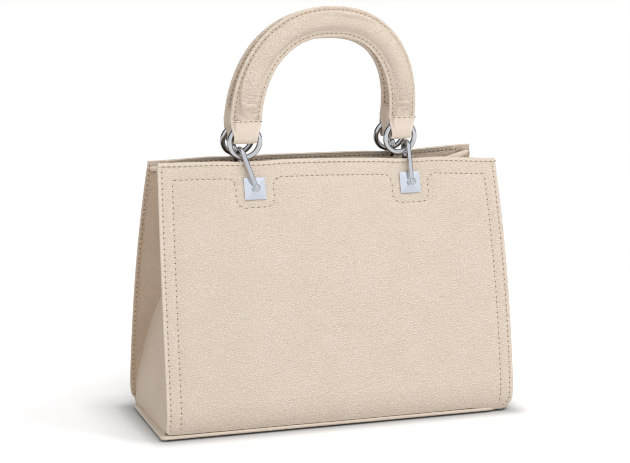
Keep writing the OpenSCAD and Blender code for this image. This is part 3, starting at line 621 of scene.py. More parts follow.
def panel_columns(side, z):
    """X of the panel's columns at each height, following its sides and lower corners."""
    middle = places_with(0, top_half - border, 2.4 * mm, [plate_x - dip_half, plate_x + dip_half])
    close = np.arange(plate_x - dip_half - 6 * mm, plate_x + dip_half + 6 * mm, 1.3 * mm)
    middle = np.array(sorted(set(np.round(middle, 6)) | {c for c in np.round(close, 6)
                             if np.min(np.abs(middle - c)) > 0.6 * mm}))
    middle = middle[middle < top_half - border - 0.5 * mm]
    middle[0] = 0
    sides = []
    for right in (False, True):
        edge = edge_at(side, z, right)
        grown = (edge - border - hold) / (top_half - border - hold)
        spread = hold + (middle[None, :] - hold) * grown[:, None]
        x_mid = np.where(middle[None, :] <= hold, middle[None, :], spread)
        sides.append(np.concatenate([x_mid, edge[:, None] - border_in[None, ::-1]], 1))
    return np.concatenate([-sides[0][:, :0:-1], sides[1]], 1)


def panel_heights(z0, z1, edge_r):
    seams = [top_row_z, inner_row_z, dip_z]
    foot = z0 + edge_r * (1 - np.cos(np.linspace(0, math.pi / 2, 12)[:-1]))
    low = np.concatenate([np.linspace(z0 + edge_r, turn_z + 4 * mm, 16)[:-1],
                          np.linspace(turn_z + 4 * mm, dip_z - 8 * mm, 54)])
    high = places_with(dip_z - 8 * mm, z1, 1.3 * mm, seams)
    return np.array(sorted(set(np.round(np.concatenate([foot, low, high]), 7))))


panels = {}
for side in ("front", "back"):
    z_rows = panel_heights(foot_z - 0.5 * mm + panel_edge, bag_top - panel_edge - 0.8 * mm, corner_r)
    x_grid = panel_columns(side, z_rows)
    z_grid = np.broadcast_to(z_rows[:, None], x_grid.shape)
    sewn = row_distance(x_grid, z_grid, panel_rows[side][0] + panel_rows[side][1])
    relief = panel_relief(x_grid, z_grid, sewn)
    points = on_panel(side, x_grid, z_grid, -relief)
    if side == "back":
        points, sewn = points[:, ::-1], sewn[:, ::-1]
    panel = sheet_piece(f"{side}_panel_leather", points, leather_t, bag_leather, sewn=sewn)
    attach(panel, "bag")
    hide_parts(f"{side}_panel")
    panels[side] = panel

# Boards, facings and linings: what stiffens each panel and covers its inside.
# Grey board glued to the leather, a band of the same leather round the mouth,
# and twill lining below it, all set in from the sides so that these stay thin.
def twill_weave():
    """Two thread directions over the cut of the cloth, a diagonal rib and loose fibres."""
    made, given, out = group_of("twill_weave", {"Cut": None, "Threads per metre": 1900.0}, ("Height", "Tone"))
    split = add(made, "ShaderNodeSeparateXYZ", given.outputs["Cut"]).outputs
    rate = times(made, given.outputs["Threads per metre"], 2 * math.pi)
    u, v = times(made, split["X"], rate), times(made, split["Y"], rate)
    warp, weft = (math_of(made, "ABSOLUTE", math_of(made, "SINE", times(made, way, 0.5))) for way in (u, v))
    rib = math_of(made, "SINE", times(made, math_of(made, "ADD", u, v), 0.5))
    over = math_of(made, "GREATER_THAN", rib, 0.0)
    height = math_of(made, "ADD", times(made, over, warp), times(made, one_minus(made, over), weft))
    slub = noise(made, given.outputs["Cut"], 900.0, 3.0)
    tone = math_of(made, "MULTIPLY_ADD", slub, 0.5, times(made, height, 0.5))
    give_out(made, out, Height=height, Tone=tone)
    return made


def cloth(name, dark, light, threads):
    """Woven cloth in two tones, with so many threads to the metre."""
    made, tree = blank_material(name)
    cut = add(tree, "ShaderNodeUVMap", settings={"uv_map": "cut"}).outputs["UV"]
    weave = add(tree, "ShaderNodeGroup", settings={"node_tree": weave_group}, Cut=cut)
    weave.inputs["Threads per metre"].default_value = threads
    surface(tree, Base_Color=blend_color(tree, weave.outputs["Tone"], dark, light),
            Normal=bump_of(tree, weave.outputs["Height"], 0.00012),
            Roughness=0.82, Sheen_Weight=0.3, Sheen_Roughness=0.5)
    return made


def greyboard(name, base, fleck):
    """Pressed board: a matt felt of fibres with darker flecks."""
    made, tree = blank_material(name)
    place = own_place(tree)
    flecks = smooth_step(tree, noise(tree, place, 420.0, 1.0), 0.6, 0.7)
    surface(tree, Base_Color=blend_color(tree, flecks, base, fleck), Roughness=0.9,
            Normal=bump_of(tree, noise(tree, place, 1400.0, 4.0), 0.0001, strength=0.6))
    return made


weave_group = twill_weave()
lining_cloth = cloth("lining_twill", linear(140, 119, 98), linear(176, 155, 132), 1900.0)
board_gray = greyboard("greyboard", linear(150, 138, 122), linear(112, 100, 86))
layer_in, facing_h, bind_h, bind_t = 16 * mm, 46 * mm, 3.3 * mm, 0.8 * mm
facing_foot, panel_top = bag_top - facing_h, bag_top - bind_t
lining_foot = foot_z + 3.2 * mm
lap = 2 * mm


def inner_layer(side, depth, z0, z1, edge_r):
    """Points of one layer behind a panel, seen from the outside of that panel."""
    foot = z0 + edge_r * (1 - np.cos(np.linspace(0, math.pi / 2, 7)))
    heights = np.unique(np.round(np.concatenate([foot, np.linspace(z0 + edge_r, z1, 36)]), 7))
    low = np.clip((z0 + edge_r - heights) / edge_r, 0, 1)
    edge = half_width(heights) - layer_in - edge_r * (1 - np.sqrt(1 - low ** 2))
    share = np.concatenate([np.linspace(0, 0.55, 12), np.linspace(0.58, 1, 16)])
    half = share[None, :] * edge[:, None]
    x = np.concatenate([-half[:, :0:-1], half], 1)
    points = on_panel(side, x, np.broadcast_to(heights[:, None], x.shape), depth)
    return points if side == "front" else points[:, ::-1]


# The facing's leather is lightened as painted light, against the shade inside the mouth
facing_hide_painted_light = leather("facing_leather_painted_light", painted_shading=(1.2, 1.18, 1.15))
for side in ("front", "back"):
    glued = leather_t + board_t
    grids = [inner_layer(side, leather_t + 0.04 * mm, foot_z + 2.3 * mm, panel_top, corner_r),
             inner_layer(side, glued, facing_foot, panel_top, 1 * mm),
             inner_layer(side, glued, lining_foot, facing_foot + lap, corner_r)]
    board = sheet_piece(f"{side}_board_sheet", grids[0], board_t - 0.08 * mm, board_gray)
    facing = sheet_piece(f"{side}_facing_leather_painted_light", grids[1], facing_t, facing_hide_painted_light)
    lining = sheet_piece(f"{side}_lining_cloth", grids[2], lining_t, lining_cloth)
    for piece, node in ((board, "board"), (facing, "facing"), (lining, "lining")):
        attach(piece, "bag")
        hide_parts(f"{side}_{node}")


# Binding: a strip of leather folded over the top edge of the panel and of all that lies
# behind it, so that it is wider over the facing than at the ends of the mouth.
def binding_grid(side):
    """Outer surface of the strip: columns along the edge, rows over it from out to in."""
    x = np.concatenate([[-top_half + 0.4 * mm], np.linspace(-top_half + 1 * mm, top_half - 1 * mm, 150),
                        [top_half - 0.4 * mm]])
    behind = board_t + facing_t
    stack = leather_t + behind * eased((top_half - layer_in + 2 * mm - np.abs(x)) / (3 * mm))
    r = bind_t
    outline = [(-0.05 * mm, bind_h), (-0.24 * mm, 0.93 * bind_h), (-0.34 * mm, 0.8 * bind_h),
               (-0.42 * mm, 0.55 * bind_h), (-0.55 * mm, 0.32 * bind_h)]
    outline += [(-0.62 * mm * math.cos(a), r * (1 - math.sin(a))) for a in np.linspace(0, math.pi / 2, 6)]
    rows = [on_panel(side, x, bag_top - drop, depth) for depth, drop in outline]
    rows += [on_panel(side, x, bag_top, stack * share) for share in (0.33, 0.67)]
    rows += [on_panel(side, x, bag_top - drop, stack - depth) for depth, drop in reversed(outline)]
    grid = np.array(rows)
    return grid if side == "front" else grid[:, ::-1]


for side in ("front", "back"):
    binding = sheet_piece(f"{side}_binding_strip", binding_grid(side), 0.5 * mm, bag_leather, taut=0.45)
    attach(binding, "bag")
    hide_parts(f"{side}_binding")

# Gussets: one piece of leather a side, folded inwards like a paper bag. Two
# creases rise from the foot and meet, and below them stands a smooth triangle.
# Each is sewn to both panels through a narrow flange and bound at its top.
gusset_t, flange_w, flange_in, sew_gap = 1.2 * mm, 4.2 * mm, 0.6 * mm, 0.1 * mm
fold_in, fold_rise, crease_h, crease_curve, nose_share = 34 * mm, 1.6, 136 * mm, 4.6, 0.03
# How far the triangle bulges out at its foot, towards the back and towards the front
back_bulge, front_bulge, bulge_h = 1.8 * mm, 4.4 * mm, 46 * mm
gusset_top, gusset_lining_h = bag_top - 6 * mm, 200 * mm
root_in = flange_in + flange_w
# Points in each straight and each rounded stretch of the plan, and the cuts of its corners
run_n = (4, 4, 14, 5, 10, 5, 14, 4, 4)
root_cut, crease_cut = 1.5 * mm, 0.7 * mm


def rounded_run(corners, cuts):
    """A line through corners with each inner one rounded, as runs of a fixed count."""
    corners = np.array(corners, float)
    points = []
    start = corners[0]
    for k in range(1, len(corners) - 1):
        before, after = corners[k - 1] - corners[k], corners[k + 1] - corners[k]
        cut = min(cuts[k - 1], 0.45 * np.linalg.norm(before), 0.45 * np.linalg.norm(after))
        a = corners[k] + before / np.linalg.norm(before) * cut
        b = corners[k] + after / np.linalg.norm(after) * cut
        points += [start + (a - start) * s for s in np.linspace(0, 1, run_n[2 * k - 2] + 1)[:-1]]
        for s in np.linspace(0, 1, run_n[2 * k - 1] + 1)[:-1]:
            points.append((1 - s) ** 2 * a + 2 * s * (1 - s) * corners[k] + s * s * b)
        start = b
    points += [start + (corners[-1] - start) * s for s in np.linspace(0, 1, run_n[-1] + 1)]
    return np.array(points)


def gusset_plan(z):
    """Plan of the gusset's outer face at one height, from the back flange to the front one."""
    share = (z - foot_z) / rise_h
    h = half_depth(z, leather_t) - sew_gap - gusset_t
    fold = fold_in * math.sin(math.pi / 2 * share) ** fold_rise
    nose = h * max(nose_share, 1 - max(nose_share, min(1, (z - foot_z) / crease_h) ** crease_curve))
    low = max(0, corner_r + foot_z - z)
    flange = min(root_in - gusset_t, flange_in + corner_r - math.sqrt(corner_r ** 2 - low ** 2))
    bulge = 1 - eased((z - foot_z) / bulge_h)
    crease_x = root_in + fold
    plan = [[flange, h], [root_in, h], [crease_x - back_bulge * bulge, nose],
            [crease_x - front_bulge * bulge, -nose], [root_in, -h], [flange, -h]]
    return rounded_run(plan, (root_cut, crease_cut, crease_cut, root_cut))


def carried(x, y, z):
    """A point of the gusset moved with the uneven mouth: with the panel that it is nearer to."""
    share = np.clip((y / half_depth(z, 0) + 1) / 2, 0, 1)
    front_out, front_up = mouth_shift("front", x, z)
    back_out, back_up = mouth_shift("back", x, z)
    return np.stack([x, y - front_out * (1 - share) + back_out * share,
                     z + front_up * (1 - share) + back_up * share], -1)


def gusset_grid(side, heights):
    rows = []
    for z in heights:
        plan = gusset_plan(z)
        x = plan[:, 0] - half_width(z)
        rows.append(carried(x if side == "left" else -x, plan[:, 1], np.full(len(x), z)))
    grid = np.array(rows)
    return grid if side == "left" else grid[:, ::-1]


gusset_rows = np.concatenate([np.linspace(foot_z + 0.6 * mm, foot_z + 30 * mm, 30),
                              np.linspace(foot_z + 31.5 * mm, gusset_top - 0.6 * mm, 130)])
nose_from, nose_to = sum(run_n[:3]) + 2, sum(run_n[:6]) - 2
# The gusset's leather is darkened and warmed as painted shade, most on the folded halves and less on the
# smooth triangle
gusset_leather_painted_shade = leather("gusset_leather_painted_shade", painted_shading=(0.80, 0.73, 0.65), taut_painted_shading=(0.85, 0.81, 0.77))
gussets = {}
for side in ("left", "right"):
    grid = gusset_grid(side, gusset_rows)
    cols = np.arange(grid.shape[1])
    on_nose = ((cols >= nose_from) & (cols <= nose_to)).astype(float)
    # The smooth triangle, which also gets less painted shade than the folded halves
    lit = on_nose[None, :] * eased((crease_h + foot_z + 8 * mm - gusset_rows) / (14 * mm))[:, None]
    from_side = np.minimum(cols, len(cols) - 1 - cols)[None, :]
    sewn = np.where(from_side < 9, np.abs(reach_in(grid) - (edge_row - flange_in)), 1.0)
    piece = sheet_piece(f"{side}_gusset_leather_painted_shade", grid, gusset_t, gusset_leather_painted_shade, taut=lit, sewn=sewn)
    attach(piece, "bag")
    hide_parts(f"{side}_gusset")
    gussets[side] = grid
    inner_rows = (gusset_rows > lining_foot) & (gusset_rows < gusset_top - bind_h)
    first = run_n[0] + run_n[1] + 3
    inner = (grid - grid_normals(grid) * (gusset_t + 0.3 * mm))[inner_rows][:, first:-first]
    lining = sheet_piece(f"{side}_gusset_lining_cloth", inner, lining_t, lining_cloth)
    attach(lining, "bag")
    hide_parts(f"{side}_gusset_lining")


strip_trim, strip_h, strip_proud = 3, 3.0 * mm, 0.55 * mm


def gusset_way_out(side, below):
    """The way out of the gusset's face a little below its top edge."""
    levels = [gusset_top - below, gusset_top - below + 2 * mm]
    return grid_normals(gusset_grid(side, levels))[1][strip_trim:-strip_trim]


def gusset_binding_grid(side):
    """A narrow strip folded over the gusset's top edge, from its outer face to its inner one."""
    bottom, top = (gusset_grid(side, [gusset_top - down])[0][strip_trim:-strip_trim]
                   for down in (strip_h, 0.0))
    out, proud = gusset_way_out(side, 2 * mm), strip_proud
    middle = bottom + (top - bottom) * 0.55
    rows = [bottom + out * proud, middle + out * proud * 1.1]
    for turn in np.linspace(0, math.pi, 7):
        rows.append(top - out * gusset_t / 2 + out * (gusset_t / 2 + proud) * math.cos(turn)
                    + np.array([0, 0, 1.0]) * (gusset_t / 2 + 0.3 * mm) * math.sin(turn))
    rows += [middle - out * (gusset_t + proud * 1.1), bottom - out * (gusset_t + proud)]
    return np.array(rows)


for side in ("left", "right"):
    grid = gusset_binding_grid(side)
    strip = sheet_piece(f"{side}_gusset_binding_strip", grid, 0.5 * mm, bag_leather, taut=0.35)
    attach(strip, "bag")
    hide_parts(f"{side}_gusset_binding")

# Base: a flat leather tray over a board. Its edge is turned up all round and
# stands out past the panels as a thin rounded lip; lining cloth covers it inside.
stud_h, lip, rim_r, rim_z = 2.6 * mm, 2 * mm, 1.5 * mm, 3.1 * mm
side_lip = {-1: 4.2 * mm, 1: 0.8 * mm}
half_d = float(half_depth(foot_z, 0)) + lip
# Rounded corners of the tray, and how much narrower it is at the back
tray_corners = ((1, 1, 0, 14 * mm), (-1, 1, 90, 14 * mm), (-1, -1, 180, 4 * mm), (1, -1, 270, 26 * mm))
taper = 0.025


def tray_line(inset, n=8):
    """The tray's outline in plan, drawn in by an inset."""
    points = []
    for sx, sy, start, r in tray_corners:
        r = max(0.8 * mm, r - inset)
        for k in range(n + 1):
            a = math.radians(start + 90 * k / n)
            x = sx * (foot_half + side_lip[sx] - inset - r) + r * math.cos(a)
            y = sy * (half_d - inset - r) + r * math.sin(a)
            points.append((x * (1 - taper * eased((y / half_d + 1) / 2)), y))
    return points


def stacked(name, rings, material, rim):
    """A closed body of rings from the bottom centre round to the top centre, with fanned ends."""
    n = len(rings[0])
    verts = [tuple(v) for ring in rings for v in ring]
    faces = [[j * n + i, j * n + (i + 1) % n, (j + 1) * n + (i + 1) % n, (j + 1) * n + i]
             for j in range(len(rings) - 1) for i in range(n)]
    for ring, order in ((0, -1), (len(rings) - 1, 1)):
        verts.append(tuple(np.mean(rings[ring], 0)))
        faces += [[ring * n + i, ring * n + (i + 1) % n, len(verts) - 1][::order] for i in range(n)]
    mesh = bpy.data.meshes.new(name)
    mesh.from_pydata(verts, [], faces)
    mark(mesh, rim=np.concatenate([np.repeat(rim, n), [rim[0], rim[-1]]]), sewn=np.ones(len(verts)))
    return finished(name, mesh, material)


# Inset and height of each ring: the sole, the rounded lip, and the top inside the panels
sole = ((40, stud_h), (12, stud_h), (6, stud_h), (3.4, stud_h - 0.2 * mm), (2.4, rim_z - 0.85 * rim_r))
top = ((2.0, rim_z + 0.75 * rim_r), (2.6, foot_z - 0.5 * mm), (3.4, foot_z - 0.1 * mm), (5, foot_z),
       (14, foot_z), (40, foot_z))
outline = [(inset * mm, z, inset * mm) for inset, z in sole]
outline += [(rim_r - rim_r * math.cos(turn), rim_z + rim_r * math.sin(turn), 0.0)
            for turn in np.linspace(-math.pi / 2, math.pi / 2, 9)]
outline += [(inset * mm, z, min(inset, 2) * mm) for inset, z in top]
rings = [[(x, y, z) for x, y in tray_line(inset)] for inset, z, _ in outline]
base = stacked("base_leather", rings, bag_leather, np.array([rim for _, _, rim in outline]))
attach(base, "bag")
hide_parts("base_panel")
def show_as(name, material):
    """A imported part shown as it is, with another material."""
    nodes[name].data.materials.clear()
    nodes[name].data.materials.append(material)


show_as("base_board", board_gray)

low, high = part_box("base_lining")
xs, ys = np.meshgrid(np.linspace(low.x, high.x, 60), np.linspace(low.y, high.y, 30))
lump = 0.25 * mm * np.sin(xs / (23 * mm)) * np.cos(ys / (15 * mm))
floor_cloth = sheet_piece("base_lining_cloth", np.stack([xs, ys, high.z + lump], -1), lining_t, lining_cloth)
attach(floor_cloth, "bag")
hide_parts("base_lining")

# Stitching: a lock stitch of thick waxed thread. Each stitch is a short raised
# length between two needle holes, and the holes are dark slots of painted shade.
def lock_stitches():
    """Stitches along the rows of a mesh of edges, whose points carry an outward direction."""
    made = bpy.data.node_groups.new("lock_stitches", "GeometryNodeTree")
    sockets = made.interface
    sockets.new_socket("Rows", in_out="INPUT", socket_type="NodeSocketGeometry")
    for label, value in (("Pitch", 0.0046), ("Stitch length", 0.0034), ("Thread radius", 0.00026),
                         ("Sink", 0.00022), ("Rise", 0.00012), ("Slant", 0.00025), ("Hole length", 0.0018),
                         ("Hole width", 0.0009), ("Hole depth", 0.0003)):
        sockets.new_socket(label, in_out="INPUT", socket_type="NodeSocketFloat").default_value = value
    for label in ("Thread", "Hole"):
        sockets.new_socket(label, in_out="INPUT", socket_type="NodeSocketMaterial")
    sockets.new_socket("Stitches", in_out="OUTPUT", socket_type="NodeSocketGeometry")
    size, out = made.nodes.new("NodeGroupInput").outputs, made.nodes.new("NodeGroupOutput")

    def point(x, y, z):
        return add(made, "ShaderNodeCombineXYZ", x, y, z).outputs[0]

    def minus(value):
        return times(made, value, -1.0)

    half, sink = times(made, size["Stitch length"], 0.5), minus(size["Sink"])
    arch = add(made, "GeometryNodeCurveQuadraticBezier", 4, point(minus(half), minus(size["Slant"]), sink),
               point(0.0, 0.0, size["Rise"]), point(half, size["Slant"], sink))
    section = add(made, "GeometryNodeCurvePrimitiveCircle", 6, Radius=size["Thread radius"])
    thread = add(made, "GeometryNodeCurveToMesh", Curve=arch.outputs[0], Profile_Curve=section.outputs[0],
                 Fill_Caps=True)
    ball = add(made, "GeometryNodeMeshIcoSphere", 0.5, 2)
    hole = add(made, "GeometryNodeTransform", Geometry=ball.outputs[0],
               Translation=point(times(made, size["Pitch"], 0.5), 0.0, 0.0),
               Scale=point(size["Hole length"], size["Hole width"], size["Hole depth"]))
    line = add(made, "GeometryNodeMeshToCurve", size["Rows"])
    even = add(made, "GeometryNodeResampleCurve", settings={"mode": "LENGTH"}, Curve=line.outputs[0],
               Length=size["Pitch"])
    out_way = add(made, "GeometryNodeInputNamedAttribute", "out", settings={"data_type": "FLOAT_VECTOR"})
    along = add(made, "FunctionNodeAlignRotationToVector", settings={"axis": "X"},
                Vector=add(made, "GeometryNodeInputTangent").outputs[0])
    turned = add(made, "FunctionNodeAlignRotationToVector", settings={"axis": "Z", "pivot_axis": "X"},
                 Rotation=along.outputs[0], Vector=out_way.outputs[0])
    both = made.nodes.new("GeometryNodeJoinGeometry")
    for shape, label in ((thread, "Thread"), (hole, "Hole")):
        spread = add(made, "GeometryNodeInstanceOnPoints", Points=even.outputs[0], Instance=shape.outputs[0],
                     Rotation=turned.outputs[0])
        real = add(made, "GeometryNodeRealizeInstances", spread.outputs[0])
        dressed = add(made, "GeometryNodeSetMaterial", Geometry=real.outputs[0], Material=size[label])
        made.links.new(dressed.outputs[0], both.inputs[0])
    made.links.new(both.outputs[0], out.inputs[0])
    return made


def waxed_thread(name, base, ply):
    """Twisted thread: fine plies and a waxed shine."""
    made, tree = blank_material(name)
    twist = add(tree, "ShaderNodeTexWave", Vector=own_place(tree), Scale=900.0, Distortion=2.0,
                Detail=1.0).outputs["Fac"]
    surface(tree, Base_Color=blend_color(tree, twist, ply, base), Roughness=0.45,
            Normal=bump_of(tree, twist, 0.00008, strength=0.6))
    return made


def needle_hole(name, deep, lip_color):
    """Painted shade for the torn inside of a needle hole, in two tones."""
    made, tree = blank_material(name)
    torn = noise(tree, own_place(tree), 900.0, 2.0)
    surface(tree, Base_Color=blend_color(tree, torn, deep, lip_color), Roughness=0.9)
    return made


thread_color = waxed_thread("waxed_thread", linear(224, 208, 188), linear(205, 187, 166))
# The needle holes are dark marks of painted shade
hole_shade_color = needle_hole("needle_holes_painted_shade", linear(122, 100, 79), linear(156, 132, 108))
stitch_tree = lock_stitches()


def sew(name, rows, body, **sizes):
    """Stitches along rows, each a pair of points and outward directions, as one plain mesh."""
    points, outs = (np.concatenate(parts) for parts in zip(*rows))
    starts = np.cumsum([0] + [len(row) for row, _ in rows]).tolist()
    edges = [(i, i + 1) for start, end in zip(starts, starts[1:]) for i in range(start, end - 1)]
    mesh = bpy.data.meshes.new(name + "_rows")
    mesh.from_pydata(points.tolist(), edges, [])
    way = mesh.attributes.new("out", "FLOAT_VECTOR", "POINT")
    way.data.foreach_set("vector", outs.astype(np.float32).ravel())
    guide = placed(name + "_guide", mesh)
    maker = guide.modifiers.new("stitches", "NODES")
    maker.node_group = stitch_tree
    wanted = {"Thread": thread_color, "Hole": hole_shade_color}
    wanted.update({label.replace("_", " "): value for label, value in sizes.items()})
    for item in stitch_tree.interface.items_tree:
        if item.in_out == "INPUT" and item.name in wanted:
            maker[item.identifier] = wanted[item.name]
    bpy.context.view_layer.update()
    plain = bpy.data.meshes.new_from_object(guide.evaluated_get(bpy.context.evaluated_depsgraph_get()))
    bpy.data.objects.remove(guide)
    plain.name = name
    plain.polygons.foreach_set("use_smooth", [True] * len(plain.polygons))
    piece = placed(name, plain)
    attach(piece, body)


def out_of(side, points, above):
    """The way out of a panel's face, from points on it and points a little above them."""
    across = np.tile([1.0, 0, 0], (len(points), 1))
    up = above - points
    out = np.cross(across, up) if side == "front" else np.cross(up, across)
    return out / np.linalg.norm(out, axis=1, keepdims=True)


def panel_row(side, path, proud=None):
    """A row on the panel's face, or proud of it: its points and the way out of the hide."""
    steps = np.linalg.norm(np.diff(path, axis=0), axis=1)
    run = np.insert(np.cumsum(steps), 0, 0)
    keep = np.insert(steps > 1e-9, 0, True)
    fine = np.linspace(0, run[-1], int(run[-1] / (1.1 * mm)) + 2)
    x, z = np.interp(fine, run[keep], path[keep, 0]), np.interp(fine, run[keep], path[keep, 1])
    if proud is None:
        proud = panel_relief(x, z, np.zeros(len(x))) + 0.03 * mm
    points = on_panel(side, x, z, -proud)
    return points, out_of(side, points, on_panel(side, x, z + 1 * mm, -proud))


# The painted shade of the needle holes is nearly round on the rows that go up and a slot on those that go
# across
upright_hole = {"Hole_length": 1.45 * mm, "Hole_width": 1.3 * mm, "Hole_depth": 0.2 * mm}
level_hole = {"Hole_length": 2.3 * mm, "Hole_width": 0.9 * mm, "Hole_depth": 0.2 * mm}
binding_proud, facing_depth = 0.3 * mm, leather_t + board_t + facing_t
for side in ("front", "back"):
    uprights, levels = panel_rows[side]
    sew(f"{side}_upright_stitches", [panel_row(side, path) for path in uprights], "bag", **upright_hole)
    rows = [panel_row(side, levels[0], binding_proud)] + [panel_row(side, path) for path in levels[1:]]
    sew(f"{side}_level_stitches", rows, "bag", **level_hole)
    x = np.linspace(-top_half + layer_in + 2 * mm, top_half - layer_in - 2 * mm, 220)
    rows = []
    for drop, depth in ((3.4 * mm, facing_depth + binding_proud), (facing_h - 5 * mm, facing_depth)):
        points, above = (on_panel(side, x, bag_top - drop + up, depth) for up in (0, 1 * mm))
        rows.append((points, -out_of(side, points, above)))
    sew(f"{side}_facing_stitches", rows, "bag", Thread_radius=0.00028, **level_hole)

for side in ("left", "right"):
    grid, normals = gussets[side], grid_normals(gussets[side])
    rows = [(grid[4:, column] + normals[4:, column] * 0.02 * mm, normals[4:, column])
            for column in (2, grid.shape[1] - 3)]
    top, out = gusset_binding_grid(side)[0], gusset_way_out(side, 5 * mm)
    rows.append((top[2:-2] - [0, 0, 0.9 * mm], out[2:-2]))
    sew(f"{side}_gusset_stitches", rows, "bag", **upright_hole)

# Handles: a leather cover and a backing sewn together along both edges round a
# soft core, which fills the roll between the rows. Filled by a cloth
# simulation, so that the roll is full and creases on the inside of the bend.
leg_half = 71.7 * mm
# Height of the arch above its legs, and how square it is
arch = {"front": (86.6 * mm, 2.27), "back": (86.6 * mm, 2.37)}
# How far the top of each handle has sagged sideways and out of its plane
sway = {"front": (3.6 * mm, -5 * mm), "back": (2.4 * mm, 11 * mm)}
sway_from, sway_h = 8 * mm, 94 * mm
ring_r, wire_r, play = 13.5 * mm, 2.3 * mm, 0.3 * mm
handle_w, roll_w, roll_out, roll_in, strap_t = 26.4 * mm, 18.6 * mm, 7.0 * mm, 4.6 * mm, 1.2 * mm
tab_t, tab_hang, tab_out_h, tab_in_h = 1.6 * mm, 1.2 * mm, 20 * mm, 30 * mm
tab_gap, end_h = wire_r + play, ring_r + wire_r + play
axis_y, axis_z = -16.2956 * mm, 232.2433 * mm
handle_lean = {"front": math.radians(8.5), "back": math.radians(-19)}
handle_slip = {"front": 6 * mm, "back": 3 * mm}
swell_l, end_t, stations = 12 * mm, 3.4 * mm, 190
# How hard the core presses, how much the cover gives, and how far a point may move
core_pressure, core_growth, core_reach = 3.0, 0.035, 2.2 * mm


def from_handle(side, points):
    """Points in the handle's own frame (across, out of the bag, up from the ring centres) in the bag's."""
    x, out, up = points[..., 0], points[..., 1], points[..., 2]
    height = np.clip((up - sway_from) / sway_h, 0, 1.2)
    x, out, up = x + sway[side][0] * height, out + sway[side][1] * height, up + ring_r
    lean = handle_lean[side]
    y = -out * math.cos(lean) - up * math.sin(lean) + axis_y
    z = -out * math.sin(lean) + up * math.cos(lean) + axis_z
    return np.stack([x - handle_slip[side], y if side == "front" else -y, z], -1)


def arch_line(side, count):
    """Points and directions along the middle of the arch, evenly spaced, from right leg to left."""
    arch_h, arch_power = arch[side]
    a = np.linspace(0, math.pi, 4001)
    x = leg_half * np.sign(np.cos(a)) * np.abs(np.cos(a)) ** (2 / arch_power)
    up = end_h + arch_h * np.abs(np.sin(a)) ** (2 / arch_power)
    run = np.insert(np.cumsum(np.hypot(np.diff(x), np.diff(up))), 0, 0)
    even = np.linspace(0, run[-1], count)
    x, up = np.interp(even, run, x), np.interp(even, run, up)
    dx, du = np.gradient(x, even), np.gradient(up, even)
    size = np.hypot(dx, du)
    dx, du = dx / size, du / size
    dx[0] = dx[-1] = 0
    du[0], du[-1] = 1, -1
    return x, up, dx, du


def girth(x):
    """How much wider the handle is pressed than its drawn width, from its left leg to its right one."""
    return 1 - 0.07 * x / leg_half


def swelled(up, tab_end, full):
    """Thickness of the roll at a height on the leg: flat under the tab, then full."""
    return end_t + (full - end_t) * eased((up - tab_end - 1 * mm) / swell_l)


def roll_height(x, base, top):
    return base + (top - base) * np.maximum(0, 1 - np.abs(2 * x / roll_w) ** 2.2) ** 0.72


def handle_outline(top, bottom):
    """Cross-section (across, out) from the right edge over the cover to the left and back."""
    half, lap = handle_w / 2, strap_t + 0.05 * mm
    edge = [(half - 0.42 * mm, 0.0), (half - 0.02 * mm, 0.38 * mm), (half - 0.1 * mm, 0.95 * mm),
            (half - 0.6 * mm, lap), (half - 1.6 * mm, lap), (half - 2.5 * mm, lap - 0.04 * mm),
            (half - 3.1 * mm, lap - 0.34 * mm)]
    across, base = np.linspace(0.5 * roll_w - 0.15 * mm, -0.5 * roll_w + 0.15 * mm, 19), lap - 0.1 * mm
    over = list(zip(across, roll_height(across, base, top)))
    under = list(zip(across[::-1], -roll_height(across, base, bottom)[::-1]))
    left = [(-x, y) for x, y in edge[:0:-1]]
    return np.array(edge + over + left + [(-edge[0][0], 0.0)] + [(x, -y) for x, y in left[::-1]] + under
                    + [(x, -y) for x, y in edge[:0:-1]])


def fill_with_core(piece, pinned):
    """Cloth simulation of the cover over its core, each point held near its start."""
    scene = bpy.context.scene
    start = np.zeros(len(piece.data.vertices) * 3, np.float32)
    piece.data.vertices.foreach_get("co", start)
    group = piece.vertex_groups.new(name="sewn_down")
    for weight in (0.0, 1.0):
        group.add(np.nonzero(pinned == weight)[0].tolist(), weight, "REPLACE")
    filling = piece.modifiers.new("core", "CLOTH")
    cover = filling.settings
    cover.vertex_group_mass = "sewn_down"
    cover.quality = 7
    cover.mass = 0.25
    cover.tension_stiffness = cover.compression_stiffness = 25
    cover.shear_stiffness = 12
    cover.bending_stiffness = 0.35
    cover.shrink_min = cover.shrink_max = -core_growth
    cover.use_pressure = True
    cover.uniform_pressure_force = core_pressure
    cover.effector_weights.gravity = 0
    filling.collision_settings.use_collision = False
    filling.collision_settings.use_self_collision = False
    filling.point_cache.frame_start, filling.point_cache.frame_end = 1, 20
    scene.frame_start, scene.frame_end = 1, 20
    for step in range(1, 21):
        scene.frame_set(step)
        bpy.context.view_layer.update()
    shown = piece.evaluated_get(bpy.context.evaluated_depsgraph_get())
    moved = np.zeros_like(start)
    shown.data.vertices.foreach_get("co", moved)
    piece.modifiers.remove(filling)
    scene.frame_set(1)
    start, moved = start.reshape(-1, 3), moved.reshape(-1, 3)
    step = np.nan_to_num(moved - start)
    size = np.linalg.norm(step, axis=1, keepdims=True)
    held = start + step * np.minimum(1, core_reach / np.maximum(size, 1e-9))
    piece.data.vertices.foreach_set("co", held.astype(np.float32).ravel())
    piece.data.update()


